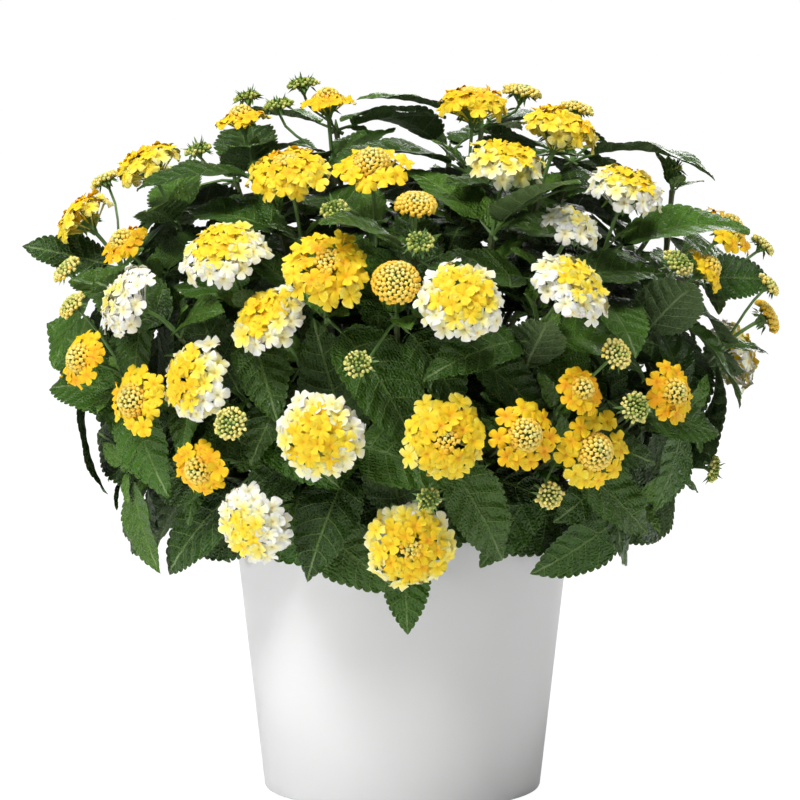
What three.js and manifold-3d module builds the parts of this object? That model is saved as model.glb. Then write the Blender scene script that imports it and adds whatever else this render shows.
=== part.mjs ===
// A potted lantana: a white tapered pot of soil that carries a wide mound of toothed leaves,
// yellow and cream flower heads and green bud clusters. Millimetres, +Z up, origin at the
// middle of the pot's base. The viewer's side of the mound is -Y.
import * as THREE from "three";
import { ConvexHull } from "three/addons/math/ConvexHull.js";
import { mergeVertices } from "three/addons/utils/BufferGeometryUtils.js";
import Module from "manifold-3d";

const wasm = await Module();
wasm.setup();

// ---------------------------------------------------------------- driving dimensions
const POT = { height: 150, rimRadius: 85.3, baseRadius: 68.5, wall: 3, floor: 4, bevel: 0.8, facets: 36 };
const SOIL = { top: 136, crown: 3, gap: 0.3 };
// The ellipsoid that the blooms lie on: the height of its middle and its four half sizes.
const MOUND = { middle: 212, wide: 178, deep: 160, high: 132, low: 126 };
const CROWN_Z = 118; // all leafy stems fan out from this height on the pot's axis
const HOLE = { depth: 26, clearance: 0.35 };
// A main stem: how far it reaches from the crown, its radii, the arms of its curve, and how much it
// leans out and rises where it leaves the soil.
const MAIN = {
  reach: 98, base: 3.4, tip: 2.4, sides: 4, footRise: 1.5, footArm: 26, endArm: 34, lean: 0.5, rise: 0.9,
};
const LAST_BRANCH = 0.93; // the last shoot leaves a main stem this share of the way along it
const MAIN_KNEES = [0.28, 0.52, 0.78, 1]; // where a main stem bends, as shares of its curve
// A shoot's three-sided stalk: its radii, half the height of a leaf node, the distance between
// leaf pairs, the span from which it gets a bend half way, and how it leaves its main stem: how much
// it follows that stem at first, and the arms of its curve as shares of its span.
const TWIG = {
  base: 2.1, node: 1.9, tip: 1.4, end: 0.6, nodeHalf: 1.7, pairSpacing: 21, longSpan: 45,
  follow: 0.3, startArm: 0.3, endArm: 0.34,
};
// A leaf: its thickness at the rib, how steeply its halves fold up, its bare stalk as a share of
// the blade, and how far it keeps from stalks, leaves, heads and the pot.
const LEAF = { ribThick: 1.3, fold: 0.2, petiole: 0.17, stalkGap: 1.2, leafGap: 2, headGap: 3, potGap: 4 };
// Blades: length, width as a share of it, curl and tilt in degrees, each with the spread of its draws.
const BLADE = { length: 58, width: 0.54, curl: 42, tilt: 24 };
const BLADE_SPREAD = { length: 0.32, width: 0.16, curl: 44, tilt: 30 };
// The skirt's leaves end at this height, and one long leaf hangs lower over the pot's front.
const HANG = { least: 112, longest: 90, beside: 16 };
// How far out from its middle the foliage reaches: less towards its foot, which tucks in.
const FLARE = { wide: 140, from: 110, slope: 0.4, most: 192 };
const LOW_SHOOT = 185; // flowering shoots whose node is below this have a second leaf pair too
// From a head's base back to its leaf node, and the arms of the curve between them.
const PEDUNCLE = { alongHead: 11, alongShoot: 11, arm: 8 };
const HEAD_BASE = 0.32; // from a head's middle back to its base, as a share of its width
// How much a head's face turns up from the mound's slope, and the shares of slope, up and face in
// the axis of its shoot.
const LEAN = { faceUp: 0.22, slope: 0.55, up: 0.5, face: 0.25 };
const SEAT_GAP = 0.3; // between a flower head and the stalk that carries it
const CUT_GAP = 0.45; // cut round a neighbour that would otherwise touch
const SEED = 39;

// The twelve leafy stems: eight spread low, four stand steep. [azimuth, elevation, radius at the soil]
const STEM_DIRECTIONS = [];
for (let i = 0; i < 8; i++) STEM_DIRECTIONS.push([-90 + 45 * i, 24, 27]);
for (let i = 0; i < 4; i++) STEM_DIRECTIONS.push([-135 + 90 * i, 60, 11]);

// Flower heads on the viewer's side: x, y, z of the head's middle, its width, its age from
// 0 (a ring of open florets round buds) to 1 (all open, the rim faded white), how far its face
// turns from the mound's own slope [sideways, up], and the roll of its upper leaf pair in degrees.
const FRONT_HEADS = [
  [-123, -25, 308, 32, 0.5, -0.2, 0.1, 20],
  [-156, -14, 282, 30, 0.5, -0.2, 0.0, 60],
  [-78, -20, 331, 25, 0.2, 0.0, 0.6, 10],
  [-36, -38, 339, 26, 0.2, 0.0, 0.8, 80],
  [34, -46, 337, 33, 0.4, 0.0, 0.8, 30],
  [-52, -109, 305, 37, 0.45, 0.0, 0.35, 0],
  [-14, -114, 309, 35, 0.35, 0.0, 0.1, 50],
  [75, -60, 325, 37, 0.5, 0.3, 0.25, 15],
  [47, -106, 309, 36, 0.7, 0.1, 0.7, 70],
  [104, -85, 297, 36, 0.8, 0.05, 0.55, 40],
  [78, -112, 281, 27, 0.95, 0.4, 0.5, 10],
  [76, -140, 255, 38, 0.85, 0.35, 0.3, 0],
  [-81, -128, 270, 39, 0.8, 0.0, 0.35, 20],
  [-34, -147, 263, 37, 0.45, 0.25, 0.05, 60],
  [-127, -108, 247, 34, 1.0, -0.35, -0.1, 0],
  [26, -155, 250, 39, 0.8, 0.0, 0.05, 30],
  [-60, -138, 240, 35, 0.75, -0.3, 0.35, 80],
  [-3, -152, 258, 21, 0.0, 0.0, 0.0, 45],
  [6, -128, 292, 18, 0.0, 0.0, 0.5, 0],
  [-131, -78, 273, 24, 0.1, 0.0, 0.1, 70],
  [-150, -88, 219, 29, 0.15, 0.05, 0.0, 50],
  [-124, -104, 201, 33, 0.35, 0.0, 0.0, 0],
  [-94, -131, 212, 37, 0.75, -0.3, 0.0, 30],
  [-37, -153, 189, 39, 0.75, 0.0, 0.0, 15],
  [-68, -126, 146, 38, 0.9, -0.15, 0.1, 60],
  [-93, -124, 171, 27, 0.15, 0.0, 0.0, 20],
  [3, -133, 138, 40, 0.6, 0.05, 0.3, 88],
  [19, -154, 188, 37, 0.5, 0.0, 0.1, 75],
  [55, -148, 189, 32, 0.25, 0.0, 0.1, 0],
  [87, -132, 180, 36, 0.35, 0.0, 0.1, 40],
  [81, -141, 209, 22, 0.05, 0.0, 0.2, 90],
  [124, -114, 205, 28, 0.1, 0.0, 0.1, 30],
  [158, -22, 277, 30, 0.2, -0.3, 0.0, 10],
  [143, -80, 261, 24, 0.2, 0.3, 0.0, 60],
  [178, -14, 234, 17, 0.0, 0.1, 0.1, 30],
];
// Flower heads on the far side, in rows: [height, how many, first azimuth, last azimuth]
const BACK_ROWS = [
  [158, 3, 42, 144],
  [208, 4, 18, 160],
  [262, 2, 60, 118],
  [312, 2, 62, 118],
];
const BACK_WIDTH = [31, 38];
const BACK_AGE = [0.1, 0.95];
const BACK_SHIFT = { azimuth: 8, height: 14, inset: 0.99, up: 0.1 };

// Bud clusters on the viewer's side: x, y, z, width.
const FRONT_BUDS = [
  [-147, 8, 300, 14], [-160, -51, 259, 15], [-156, -70, 243, 14], [-76, 0, 341, 12],
  [-60, -30, 337, 14], [-49, 4, 347, 15], [-97, -60, 316, 12], [-31, -128, 290, 12],
  [58, -8, 343, 18], [85, -10, 335, 16], [178, -26, 250, 12], [106, -132, 200, 14],
  [67, -136, 160, 12], [-78, -146, 194, 15], [97, -136, 225, 14], [12, -146, 160, 10],
  [8, -146, 276, 12], [-20, -159, 222, 12], [150, -40, 162, 12], [178, 6, 268, 13],
  [128, -96, 264, 15],
];
// A cluster's stalk: its usual length, half its width, and the arms of its curve as a share of its
// span; the cluster turns up from the mound's slope and sits this share of its width above its base.
const BUD_STALK = { length: 18, wide: 1.2, arm: 0.3, faceUp: 0.45, base: 0.3 };
const BACK_BUDS = { count: 5, azimuth: [25, 155], height: [190, 325], width: 14, inset: 1.02 };

// Leafy tips fill the mound wherever no other leaf node is near: candidates wind down it in a
// spiral, from the top to the skirt that hangs over the rim.
const LEAFY_TIPS = {
  candidates: 150, top: 340, bottom: 150, skirt: 175,
  share: 0.93, turn: 137.5, inset: 14, spacing: 42, skirtLength: 1.08,
  skirtUp: 0.75, up: 0.5, roll: 90, rollSpread: 60,
};

// ---------------------------------------------------------------- vectors
const add = (a, b, k = 1) => [a[0] + b[0] * k, a[1] + b[1] * k, a[2] + b[2] * k];
const sub = (a, b) => [a[0] - b[0], a[1] - b[1], a[2] - b[2]];
const scale = (a, k) => [a[0] * k, a[1] * k, a[2] * k];
const dot = (a, b) => a[0] * b[0] + a[1] * b[1] + a[2] * b[2];
const cross = (a, b) => [a[1] * b[2] - a[2] * b[1], a[2] * b[0] - a[0] * b[2], a[0] * b[1] - a[1] * b[0]];
const size = (a) => Math.sqrt(dot(a, a));
const unit = (a) => scale(a, 1 / size(a));
const radians = (degrees) => (degrees * Math.PI) / 180;
const between = ([least, most], share) => least + (most - least) * share;
const UP = [0, 0, 1];
const CROWN = [0, 0, CROWN_Z];

// Park and Miller's generator, which gives the same run in any language.
function generator(seed) {
  let state = seed;
  return () => {
    state = (state * 16807) % 2147483647;
    return state / 2147483647;
  };
}

function bezier(points, t) {
  const s = 1 - t;
  const weights = [s * s * s, 3 * s * s * t, 3 * s * t * t, t * t * t];
  return weights.reduce((sum, w, i) => add(sum, points[i], w), [0, 0, 0]);
}

function direction(azimuth, elevation) {
  const a = radians(azimuth);
  const e = radians(elevation);
  return [Math.cos(a) * Math.cos(e), Math.sin(a) * Math.cos(e), Math.sin(e)];
}

// ---------------------------------------------------------------- the mound and its stems
function moundNormal(p) {
  const half = p[2] > MOUND.middle ? MOUND.high : MOUND.low;
  return unit([p[0] / MOUND.wide ** 2, p[1] / MOUND.deep ** 2, (p[2] - MOUND.middle) / half ** 2]);
}

// The point of the mound at an azimuth and height, drawn in towards its axis by a share.
function onMound(azimuth, z, share) {
  const half = z > MOUND.middle ? MOUND.high : MOUND.low;
  const ring = Math.sqrt(Math.max(0.03, 1 - ((z - MOUND.middle) / half) ** 2)) * share;
  const a = radians(azimuth);
  return [MOUND.wide * ring * Math.cos(a), MOUND.deep * ring * Math.sin(a), z];
}

const stems = STEM_DIRECTIONS.map(([azimuth, elevation, radius]) => {
  const out = direction(azimuth, elevation);
  const foot = add([0, 0, SOIL.top + SOIL.crown + MAIN.footRise], direction(azimuth, 0), radius);
  const end = add(CROWN, out, MAIN.reach);
  const rise = [out[0] * MAIN.lean, out[1] * MAIN.lean, MAIN.rise];
  const path = [foot, add(foot, rise, MAIN.footArm), add(end, out, -MAIN.endArm), end];
  return { out, foot, knees: MAIN_KNEES.map((t) => bezier(path, t)) };
});

// A point of a main stem, a share of the way between its second knee and its end.
function branchPoint({ knees }, share) {
  const step = Math.min(knees.length - 2, 1 + Math.floor(share * (knees.length - 2)));
  return add(knees[step], sub(knees[step + 1], knees[step]), share * (knees.length - 2) - (step - 1));
}

function nearestStem(p) {
  const out = unit(sub(p, CROWN));
  let best = 0;
  stems.forEach((stem, i) => {
    if (dot(stem.out, out) > dot(stems[best].out, out)) best = i;
  });
  return best;
}

const RIM = { beside: 10, above: 7, over: 6, lift: 11 }; // how far leafy twigs keep from the rim

// Moves a point that would lie in the pot's rim outwards, past it.
function pastRim(p) {
  const out = Math.hypot(p[0], p[1]);
  const least = POT.rimRadius + RIM.beside;
  if (p[2] > POT.height + RIM.above || out > least) return p;
  return [(p[0] * least) / out, (p[1] * least) / out, p[2]];
}

// Lifts a point that would lie in the pot's rim over it.
function overRim(p) {
  if (Math.hypot(p[0], p[1]) > POT.rimRadius + RIM.over) return p;
  return [p[0], p[1], Math.max(p[2], POT.height + RIM.lift)];
}

// A shoot: its uppermost leaf node with its axis, and what it carries. Its stalk turns with
// roll, and its leaves grow from the faces of the stalk.
function makeShoot(head, node, axis, roll, random) {
  const round = unit(cross(UP, [node[0], node[1], 0]));
  const down = unit(cross(round, axis));
  const side = cross(axis, down);
  const draws = [0, 1, 2, 3, 4, 5, 6, 7].map(random);
  return { head, node, axis, side, down, roll, draws, stem: nearestStem(node) };
}

function headShoot([x, y, z, width, age, sideways, upwards, roll], random) {
  const middle = [x, y, z];
  const slope = moundNormal(middle);
  const side = unit(cross(UP, [x, y, 0]));
  const face = unit(add(add(add(slope, UP, LEAN.faceUp), side, sideways), UP, upwards));
  const axis = unit(add(add(scale(slope, LEAN.slope), UP, LEAN.up), face, LEAN.face));
  const base = add(middle, face, -width * HEAD_BASE);
  const node = pastRim(add(add(base, face, -PEDUNCLE.alongHead), axis, -PEDUNCLE.alongShoot));
  const shoot = makeShoot({ middle, face, width, age, base }, node, axis, roll, random);
  shoot.peduncle = [node, add(node, axis, PEDUNCLE.arm), add(base, face, -PEDUNCLE.arm), base];
  return shoot;
}

const random = generator(SEED);
const blooms = FRONT_HEADS.map((row) => headShoot(row, random));
for (const [z, count, first, last] of BACK_ROWS)
  for (let i = 0; i < count; i++) {
    const azimuth = first + ((last - first) * i) / (count - 1) + BACK_SHIFT.azimuth * (random() - 0.5);
    const at = onMound(azimuth, z + BACK_SHIFT.height * (random() - 0.5), BACK_SHIFT.inset);
    const width = between(BACK_WIDTH, random());
    const age = between(BACK_AGE, random());
    blooms.push(headShoot([...at, width, age, 0, BACK_SHIFT.up, 180 * random()], random));
  }

const leafyTips = [];
for (let i = 0; i < LEAFY_TIPS.candidates; i++) {
  const z = LEAFY_TIPS.top + ((LEAFY_TIPS.bottom - LEAFY_TIPS.top) * i) / (LEAFY_TIPS.candidates - 1);
  const at = onMound(LEAFY_TIPS.turn * i, z, LEAFY_TIPS.share);
  const isSkirt = z < LEAFY_TIPS.skirt;
  const axis = unit(add(moundNormal(at), UP, isSkirt ? LEAFY_TIPS.skirtUp : LEAFY_TIPS.up));
  const node = pastRim(add(at, axis, -LEAFY_TIPS.inset));
  if ([...blooms, ...leafyTips].some((s) => size(sub(s.node, node)) < LEAFY_TIPS.spacing)) continue;
  const roll = LEAFY_TIPS.roll + LEAFY_TIPS.rollSpread * (random() - 0.5);
  const shoot = makeShoot(null, node, axis, roll, random);
  shoot.length = isSkirt ? LEAFY_TIPS.skirtLength : 1;
  leafyTips.push(shoot);
}

// The shoots of one stem leave it at even steps, the ones most in line with it last.
const shoots = [...blooms, ...leafyTips];
stems.forEach((main, index) => {
  const own = shoots.filter((s) => s.stem === index);
  const turnOf = (s) => dot(unit(sub(s.node, CROWN)), main.out);
  own.sort((a, b) => turnOf(a) - turnOf(b));
  own.forEach((s, rank) => {
    const attach = branchPoint(main, (LAST_BRANCH * (rank + 1)) / own.length);
    const span = size(sub(s.node, attach));
    const start = unit(add(unit(sub(s.node, attach)), main.out, TWIG.follow));
    const end = overRim(add(s.node, s.axis, -span * TWIG.endArm));
    s.twig = [attach, add(attach, start, span * TWIG.startArm), end, s.node];
    s.span = span;
  });
});

// A bud cluster rises from the leaf node of the nearest shoot that has none yet. That shoot is
// turned so that the free face of its stalk looks towards the cluster.
function budStalk([x, y, z, width]) {
  const middle = [x, y, z];
  const face = unit(add(moundNormal(middle), UP, BUD_STALK.faceUp));
  const base = add(middle, face, -width * BUD_STALK.base);
  const reach = (s) => size(sub(s.node, add(base, face, -BUD_STALK.length)));
  const host = shoots.filter((s) => !s.bud).reduce((best, s) => (reach(s) < reach(best) ? s : best));
  const toBud = sub(base, host.node);
  const a = radians(host.roll - 90);
  if (dot(toBud, host.side) * Math.cos(a) + dot(toBud, host.down) * Math.sin(a) < 0) host.roll += 180;
  const arm = size(toBud) * BUD_STALK.arm;
  const start = unit(add(unit(toBud), host.axis, 0.5));
  const path = [host.node, add(host.node, start, arm), add(base, face, -arm), base];
  host.bud = { middle, face, width, base, path };
  return host.bud;
}
const buds = FRONT_BUDS.map(budStalk);
for (let i = 0; i < BACK_BUDS.count; i++) {
  const share = i / (BACK_BUDS.count - 1);
  const azimuth = between(BACK_BUDS.azimuth, share);
  const at = onMound(azimuth, between(BACK_BUDS.height, random()), BACK_BUDS.inset);
  const isFree = blooms.every((s) => size(sub(s.head.middle, at)) > s.head.width / 2 + BACK_BUDS.width);
  if (isFree) buds.push(budStalk([...at, BACK_BUDS.width]));
}

// ---------------------------------------------------------------- leaves
// The blade's outline is t to one power times (1 - t) to another: widest towards its base.
const OUTLINE = { base: 0.55, tip: 0.95, highest: 0.3732 };

// Half the width of the blade, as a share of its width, at a share t of its length.
function bladeHalf(t) {
  if (t <= 0 || t >= 1) return 0;
  return (0.5 * t ** OUTLINE.base * (1 - t) ** OUTLINE.tip) / OUTLINE.highest;
}

// A point of a leaf: s along the rib from the stalk's root, v across, lift off the face.
// The rib is an arc that curls away from the upper face, and the halves fold up from it.
function leafPoint(leaf, s, v, lift = 0) {
  const angle = (leaf.curl * s) / leaf.long;
  const bow = leaf.long / leaf.curl;
  const rise = Math.abs(v) * LEAF.fold + lift;
  const along = bow * Math.sin(angle) + rise * Math.sin(angle);
  const above = bow * (Math.cos(angle) - 1) + rise * Math.cos(angle);
  return add(add(add(leaf.root, leaf.along, along), leaf.face, above), leaf.across, v);
}

// The same place backwards: [s, v, height above the blade] of a point in space.
function leafLocal(leaf, p) {
  const bow = leaf.long / leaf.curl;
  const q = sub(p, leaf.root);
  const x = dot(q, leaf.along);
  const y = dot(q, leaf.face) + bow;
  const v = dot(q, leaf.across);
  return [Math.atan2(x, y) * bow, v, Math.sqrt(x * x + y * y) - bow - Math.abs(v) * LEAF.fold];
}

function leafHalf(leaf, s) {
  const t = (s - leaf.petiole) / (leaf.long - leaf.petiole);
  return t <= 0 ? 1 : Math.max(1, bladeHalf(t) * leaf.width);
}

// A leaf is tested at the points of a grid: rows across it at these shares of its length, each this
// share of the blade's width there.
const GRID_ROWS = [0.3, 0.5, 0.7, 0.86, 0.99];
const GRID_WIDTH = 0.95;

function makeLeaf(shoot, at, azimuth, tilt, length, widthShare, curl) {
  const a = radians(azimuth);
  const e = radians(tilt);
  const radial = add(scale(shoot.side, Math.cos(a)), shoot.down, Math.sin(a));
  const along = add(scale(radial, Math.cos(e)), shoot.axis, Math.sin(e));
  const face = add(scale(shoot.axis, Math.cos(e)), radial, -Math.sin(e));
  const petiole = length * LEAF.petiole;
  const leaf = { root: at, along, face, across: cross(along, face), petiole, long: length + petiole };
  Object.assign(leaf, { width: length * widthShare, curl: radians(curl), shoot });
  leaf.grid = GRID_ROWS.map((t) => {
    const half = leafHalf(leaf, t * leaf.long) * GRID_WIDTH;
    return [-half, 0, half].map((v) => leafPoint(leaf, t * leaf.long, v));
  });
  leaf.middle = leafPoint(leaf, leaf.long * 0.55, 0);
  return leaf;
}

// True if the line from p to q passes through the blade, or either end lies nearer to it than gap.
function pierces(leaf, p, q, gap) {
  const [s0, v0, w0] = leafLocal(leaf, p);
  const [s1, v1, w1] = leafLocal(leaf, q);
  const onBlade = (s) => s > leaf.petiole * 0.8 && s < leaf.long + 1;
  const inside = (s, v) => onBlade(s) && Math.abs(v) < leafHalf(leaf, s) + 1;
  if (Math.abs(w0) < gap && inside(s0, v0)) return true;
  if (Math.abs(w1) < gap && inside(s1, v1)) return true;
  if (w0 * w1 >= 0) return false;
  const k = w0 / (w0 - w1);
  return inside(s0 + (s1 - s0) * k, v0 + (v1 - v0) * k);
}

function gridEdges(leaf) {
  const edges = [];
  leaf.grid.forEach((row, i) => {
    edges.push([row[0], row[1]], [row[1], row[2]]);
    if (i) row.forEach((p, j) => edges.push([leaf.grid[i - 1][j], p]));
  });
  return edges;
}

const solidHeads = [...blooms.map((s) => s.head), ...buds];
// Stalks as runs of straight lines.
const stalkLines = [];
function addLines(path, count) {
  for (let i = 0; i < count; i++) stalkLines.push([bezier(path, i / count), bezier(path, (i + 1) / count)]);
}
shoots.forEach((s) => addLines(s.twig, 4));
blooms.forEach((s) => addLines(s.peduncle, 3));
buds.forEach((b) => addLines(b.path, 3));
for (const { foot, knees } of stems) {
  knees.forEach((knee, i) => stalkLines.push([i ? knees[i - 1] : foot, knee]));
}

function potRadius(z) {
  return POT.baseRadius + ((POT.rimRadius - POT.baseRadius) * z) / POT.height;
}

function inPot(p) {
  const isBelowRim = p[2] < POT.height + LEAF.potGap;
  return isBelowRim && Math.hypot(p[0], p[1]) < potRadius(p[2]) + LEAF.potGap;
}

function hangsLow(p) {
  const isInFront = p[1] < 0 && Math.abs(p[0]) < HANG.beside;
  return p[2] < (isInFront ? HANG.longest : HANG.least);
}

function standsOut(p) {
  const around = Math.hypot(p[0], (p[1] * MOUND.wide) / MOUND.deep);
  return around > Math.min(FLARE.wide + (p[2] - FLARE.from) * FLARE.slope, FLARE.most);
}

const HEAD_HEIGHT = 0.7; // how high a head's clearance reaches, as a share of how wide

function inHead(head, p) {
  const reach = head.width / 2 + LEAF.headGap;
  const q = sub(p, head.middle);
  const high = dot(q, head.face);
  const wide = Math.sqrt(Math.max(0, dot(q, q) - high * high));
  return (wide / reach) ** 2 + (high / (reach * HEAD_HEIGHT)) ** 2 < 1;
}

// What lies further than this from a leaf's middle, as a share of its length, can't touch it.
const LEAF_REACH = 0.6;
const PAIR_REACH = 0.58;
const LEAF_GUARD = 4;

// True if a leaf keeps clear of the pot, the heads, the stalks and the leaves placed before it.
function clear(leaf, placed) {
  const points = leaf.grid.flat();
  if (points.some(inPot) || points.some(hangsLow) || points.some(standsOut)) return false;
  const isFar = (p, reach) => size(sub(p, leaf.middle)) > leaf.long * LEAF_REACH + reach;
  for (const head of solidHeads) {
    if (isFar(head.middle, head.width)) continue;
    if (points.some((p) => inHead(head, p))) return false;
  }
  for (const [p, q] of stalkLines) {
    if (isFar(p, size(sub(p, q)) + LEAF_GUARD)) continue;
    if (pierces(leaf, p, q, LEAF.stalkGap)) return false;
  }
  const edges = gridEdges(leaf);
  for (const other of placed) {
    if (size(sub(other.middle, leaf.middle)) > (leaf.long + other.long) * PAIR_REACH) continue;
    if (edges.some(([p, q]) => pierces(other, p, q, LEAF.leafGap))) return false;
    if (gridEdges(other).some(([p, q]) => pierces(leaf, p, q, LEAF.leafGap))) return false;
  }
  return true;
}

// Turns and tilts that are tried in order until a leaf is clear of its neighbours, then smaller ones.
const TRY_SIZES = [1, 0.88, 0.76];
const TRY_TURNS = [11, 22, 33];
const TILT_A_TURN = 1.2; // degrees of tilt for each degree of turn
const TRY_SIDES = [[1, 0], [-1, 0], [0, 1], [0, -1], [1, 1], [-1, 1], [1, -1], [-1, -1]];
const TRIES = [];
for (const share of TRY_SIZES) {
  TRIES.push([0, 0, share]);
  for (const reach of TRY_TURNS)
    for (const [turn, tilt] of TRY_SIDES) TRIES.push([turn * reach, tilt * reach * TILT_A_TURN, share]);
}

function placeLeaf(shoot, at, azimuth, tilt, length, widthShare, curl, placed) {
  for (const [turn, lean, share] of TRIES) {
    const leaf = makeLeaf(shoot, at, azimuth + turn, tilt + lean, length * share, widthShare, curl);
    if (clear(leaf, placed)) {
      placed.push(leaf);
      return leaf;
    }
  }
  return null;
}

const leaves = [];
const LOWER_PAIR = 1.08; // how much longer the leaves of a lower pair are

// Where the leaf pair of a step sits: 0 is the uppermost, each next one is further down the twig.
function pairShare(shoot, step) {
  return Math.max(0.4 / step, 1 - (TWIG.pairSpacing * step) / shoot.span);
}

function leafPair(shoot, step, lengthShare) {
  const at = step ? bezier(shoot.twig, pairShare(shoot, step)) : shoot.node;
  const share = (shoot.length || 1) * lengthShare;
  for (const half of [0, 1]) {
    const draw = shoot.draws[(step * 2 + half) % 8];
    const other = shoot.draws[(step * 2 + half + 5) % 8];
    const length = BLADE.length * share * (1 + BLADE_SPREAD.length * (draw - 0.5));
    const azimuth = shoot.roll + 90 * step + 180 * half;
    const width = BLADE.width * (1 + BLADE_SPREAD.width * (other - 0.5));
    const tilt = BLADE.tilt + BLADE_SPREAD.tilt * (other - 0.5);
    const curl = BLADE.curl + BLADE_SPREAD.curl * (draw - 0.5);
    const leaf = placeLeaf(shoot, at, azimuth, tilt, length, width, curl, leaves);
    if (leaf) Object.assign(leaf, { step, side: step + half });
  }
}
shoots.forEach((s) => leafPair(s, 0, 1));
const twoPaired = shoots.filter((s) => !s.head || s.node[2] < LOW_SHOOT);
twoPaired.forEach((s) => leafPair(s, 1, LOWER_PAIR));

// ---------------------------------------------------------------- solids
const WELD = 1e-3; // points nearer than this are one point
const WELD_ROUNDS = 3; // welding can pinch off a scrap, so each body is welded and sorted this often

// A closed geometry from points and the triangles over them.
function geometryOf(points, triangles) {
  const g = new THREE.BufferGeometry();
  g.setAttribute("position", new THREE.Float32BufferAttribute(points.flat(), 3));
  g.setIndex(triangles.flat());
  return g;
}

function solidOf(geometry) {
  const g = geometry.clone();
  g.deleteAttribute("normal");
  g.deleteAttribute("uv");
  const merged = mergeVertices(g, WELD);
  const mesh = new wasm.Mesh({
    numProp: 3,
    vertProperties: merged.attributes.position.array,
    triVerts: new Uint32Array(merged.index.array),
  });
  return new wasm.Manifold(mesh);
}

function geometryFrom(solid) {
  const mesh = solid.getMesh();
  const g = new THREE.BufferGeometry();
  g.setAttribute("position", new THREE.BufferAttribute(new Float32Array(mesh.vertProperties), 3));
  g.setIndex(new THREE.BufferAttribute(new Uint32Array(mesh.triVerts), 1));
  g.computeVertexNormals();
  return g;
}

// A stalk: a ring of points round each centre, its radius easing from one end to the other.
function tube(centres, radii, sides, grow = 0) {
  const points = [];
  const triangles = [];
  let side = null;
  centres.forEach((c, i) => {
    const before = centres[Math.max(0, i - 1)];
    const after = centres[Math.min(centres.length - 1, i + 1)];
    const along = unit(sub(after, before));
    side = unit(side ? sub(side, scale(along, dot(side, along))) : cross(along, [0.31, 0.95, 0.07]));
    const third = cross(along, side);
    for (let j = 0; j < sides; j++) {
      const a = (2 * Math.PI * j) / sides;
      const radius = radii[i] + grow;
      points.push(add(add(c, side, Math.cos(a) * radius), third, Math.sin(a) * radius));
    }
  });
  for (let i = 1; i < centres.length; i++)
    for (let j = 0; j < sides; j++) {
      const k = (j + 1) % sides;
      const [a, b, c, d] = [(i - 1) * sides + j, (i - 1) * sides + k, i * sides + j, i * sides + k];
      triangles.push([a, b, d], [a, d, c]);
    }
  const last = (centres.length - 1) * sides;
  for (let j = 1; j < sides - 1; j++) triangles.push([0, j + 1, j], [last, last + j, last + j + 1]);
  return geometryOf(points, triangles);
}

// Where the edge of the solid blade runs: [share of the blade, share of its half width there].
const EDGE = [[0.13, 1.0], [0.4, 1.06], [0.48, 0.84], [0.69, 1.06]];
const RIB = 0.42; // where the rib is thickest, as a share of the blade
const PETIOLE_HALF = 1.2;

// Adds a leaf to a mesh, from the four corners of the stalk's face that it grows from. Its blade
// is a thin lens with a toothed edge, thickest at its rib.
function growLeaf(leaf, roots, points, triangles, grow) {
  const blade = leaf.long - leaf.petiole;
  const edgePoint = ([t, out]) => [leaf.petiole + t * blade, bladeHalf(t) * leaf.width * out];
  const stations = [[leaf.petiole, PETIOLE_HALF], ...EDGE.map(edgePoint)];
  const push = (s, v, lift) => points.push(leafPoint(leaf, s, v, lift)) - 1;
  const tip = push(leaf.long + grow, 0, 0);
  const side = (sign) => stations.map(([s, half]) => push(s, sign * (half + grow), 0));
  const edge = (root, sign) => [root, ...side(sign), tip];
  const thick = LEAF.ribThick / 2 + grow;
  const thickest = leaf.petiole + RIB * blade;
  const rib = (root, lift) => [root, push(leaf.petiole, 0, lift), push(thickest, 0, lift), tip];
  const edgeAt = [0, ...stations.map(([s]) => s), leaf.long];
  const ribAt = [0, leaf.petiole, thickest, leaf.long];
  const [left, right] = [edge(roots.left, 1), edge(roots.right, -1)];
  const [top, bottom] = [rib(roots.top, thick), rib(roots.bottom, -thick)];
  // Fills the strip between an edge and a rib, always with the step that lies further back.
  const strip = (outer, inner, flip) => {
    let i = 0;
    let j = 0;
    while (i < outer.length - 2 || j < inner.length - 2) {
      const takeOuter = j === inner.length - 2 || (i < outer.length - 2 && edgeAt[i + 1] <= ribAt[j + 1]);
      const corner = [outer[i], inner[j], takeOuter ? outer[i + 1] : inner[j + 1]];
      triangles.push(flip ? corner.reverse() : corner);
      if (takeOuter) i++;
      else j++;
    }
    const corner = [outer[i], inner[j], tip];
    triangles.push(flip ? corner.reverse() : corner);
  };
  strip(left, top, true);
  strip(right, top, false);
  strip(left, bottom, false);
  strip(right, bottom, true);
}

const ROOT_NECK = 4.2; // a stalk reaches its full width this far from the middle of what carries it
const PAIR_TWIST = 30; // how far the lower leaf pair's rings are turned, which sets the pairs crosswise
const LEAFY_END = 6; // how far a stalk without a head stands above its uppermost leaf pair

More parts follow.
